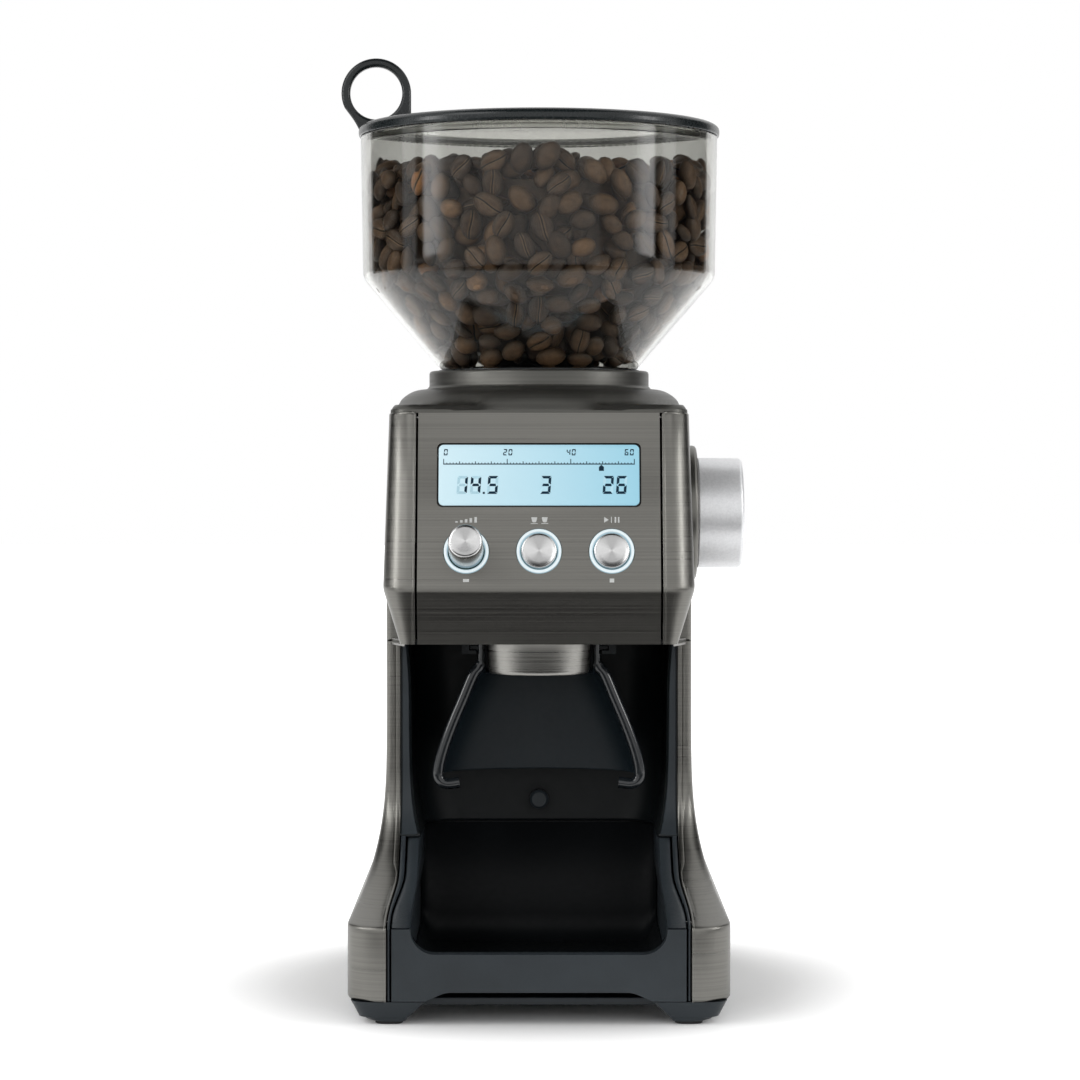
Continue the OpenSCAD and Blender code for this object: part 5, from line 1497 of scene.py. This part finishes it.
def background_factor(tree):
    """One for camera, glossy and transmission rays, so metal and glass show the white background too."""
    path = add(tree, "ShaderNodeLightPath").outputs
    seen = maths(tree, "ADD", path["Is Camera Ray"], path["Is Glossy Ray"])
    return maths(tree, "ADD", seen, path["Is Transmission Ray"], clamp=True)


def world():
    """An even white world: what lights the object is 1.1 strong, and what is seen of it is plain white."""
    scene_world = bpy.data.worlds.new("studio")
    bpy.context.scene.world = scene_world
    scene_world.use_nodes = True
    tree = scene_world.node_tree
    light = tree.nodes["Background"]
    feed(tree, light, {"Color": (1, 1, 1, 1), "Strength": 1.1})
    white = add(tree, "ShaderNodeBackground", {"Color": (1, 1, 1, 1), "Strength": 1.0})
    values = {"Fac": background_factor(tree), 1: light.outputs[0], 2: white.outputs[0]}
    mix = add(tree, "ShaderNodeMixShader", values)
    feed(tree, tree.nodes["World Output"], {"Surface": mix.outputs[0]})


def stage_sheet(name, corners, material):
    """A flat sheet of the stage, from its four corners."""
    mesh = bpy.data.meshes.new(name)
    mesh.from_pydata(corners, [], [(0, 1, 2, 3)])
    mesh.materials.append(MATERIALS[material])
    sheet = add_object(name, mesh)
    return sheet


def level_sheet(name, half_width, front, back, height, material):
    x, z = half_width, height
    return stage_sheet(name, [(-x, front, z), (x, front, z), (x, back, z), (-x, back, z)], material)


def upright_sheet(name, start, end, low, high, material):
    """A sheet that stands between two floor points. Its own X runs from the start to the end."""
    along = Vector((end[0] - start[0], end[1] - start[1], 0))
    length = along.length
    sheet = stage_sheet(name, [(0, 0, low), (length, 0, low), (length, 0, high), (0, 0, high)], material)
    sheet.location = (start[0], start[1], 0)
    sheet.rotation_euler = (0, 0, math.atan2(along.y, along.x))
    return sheet


def hide_from(sheet, *rays):
    for ray in rays:
        setattr(sheet, "visible_" + ray, False)


def flat_stage_material(name, value, glow=0.0):
    """Matt sheet that glows further out, but not for diffuse rays, so only the near shadow shows."""
    tree, shader = new_material(name)
    reach = length_of(tree, object_place(tree))
    values = {"Value": reach, "From Min": 0.09, "From Max": 0.16, "To Max": glow}
    far = add(tree, "ShaderNodeMapRange", values, interpolation_type="SMOOTHSTEP").outputs["Result"]
    feed(tree, shader, {
        "Base Color": two_tone(tree, stretched_noise(tree, (3, 3, 3)), value * 0.97, value),
        "Roughness": 0.9,
        "Specular IOR Level": 0.1,
        "Emission Strength": maths(tree, "MULTIPLY", background_factor(tree), far),
    })


def softbox_material(name, length, stops):
    """Light that changes along the sheet: stops are (share of its length, strength)."""
    tree, shader = new_material(name)
    tree.nodes.remove(shader)
    values = {"Value": axes_of(tree, object_place(tree))["X"], "From Max": length}
    level = add(tree, "ShaderNodeMapRange", values).outputs["Result"]
    brightest = max(strength for _, strength in stops)
    shade = colour_ramp(tree, level, [(share, strength / brightest) for share, strength in stops], "EASE")
    glow = add(tree, "ShaderNodeEmission", {"Color": shade, "Strength": brightest})
    feed(tree, tree.nodes["Material Output"], {"Surface": glow.outputs["Emission"]})


def stage():
    """White floor, dark sheets that shape the reflections, and a low and a high softbox at each side."""
    flat_stage_material("pale_floor", 0.92, 0.42)
    flat_stage_material("dark_card", 0.02)
    level_sheet("floor", 6.0, -1.2, 6.0, 0, "pale_floor")
    front_card = level_sheet("front_card", 0.7, -1.25, -0.26, 0.004, "dark_card")
    hide_from(front_card, "camera", "diffuse", "shadow")
    hide_from(level_sheet("ceiling_card", 0.4, -1.0, 0.22, 1.0, "dark_card"), "camera")
    for side, name, dimmer in ((-1, "left", 1.0), (1, "right", 0.5)):
        front, back = (side * 0.52, 0.02), (side * 0.57, 0.55)
        flag = upright_sheet("flag_" + name, front, back, 0.18, 0.66, "dark_card")
        hide_from(flag, "camera", "diffuse", "shadow")
        front, back = (side * 0.62, -0.79), (side * 0.80, -0.10)
        length = math.dist(front, back)
        low_light = [(0.0, 0.7), (0.35, 0.8), (0.52, 1.5), (0.68, 1.5), (0.80, 0.3), (0.97, 0.0)]
        low_light = [(share, strength * dimmer) for share, strength in low_light]
        high_light = [(0.0, 0.6), (0.50, 0.9), (0.74, 8.0), (0.82, 8.0), (0.90, 0.0)]
        for part, low, high, stops in (("low", 0.10, 0.295, low_light), ("high", 0.30, 0.60, high_light)):
            label = "softbox_{}_{}".format(part, name)
            softbox_material(label, length, stops)
            hide_from(upright_sheet(label, front, back, low, high, label), "camera")


bpy.context.scene.view_settings.view_transform = "Standard"
camera()
world()
stage()
area_light("key", (-0.85, -0.85, 1.05), (0, 0, 0.22), (0.7, 0.7), 3)
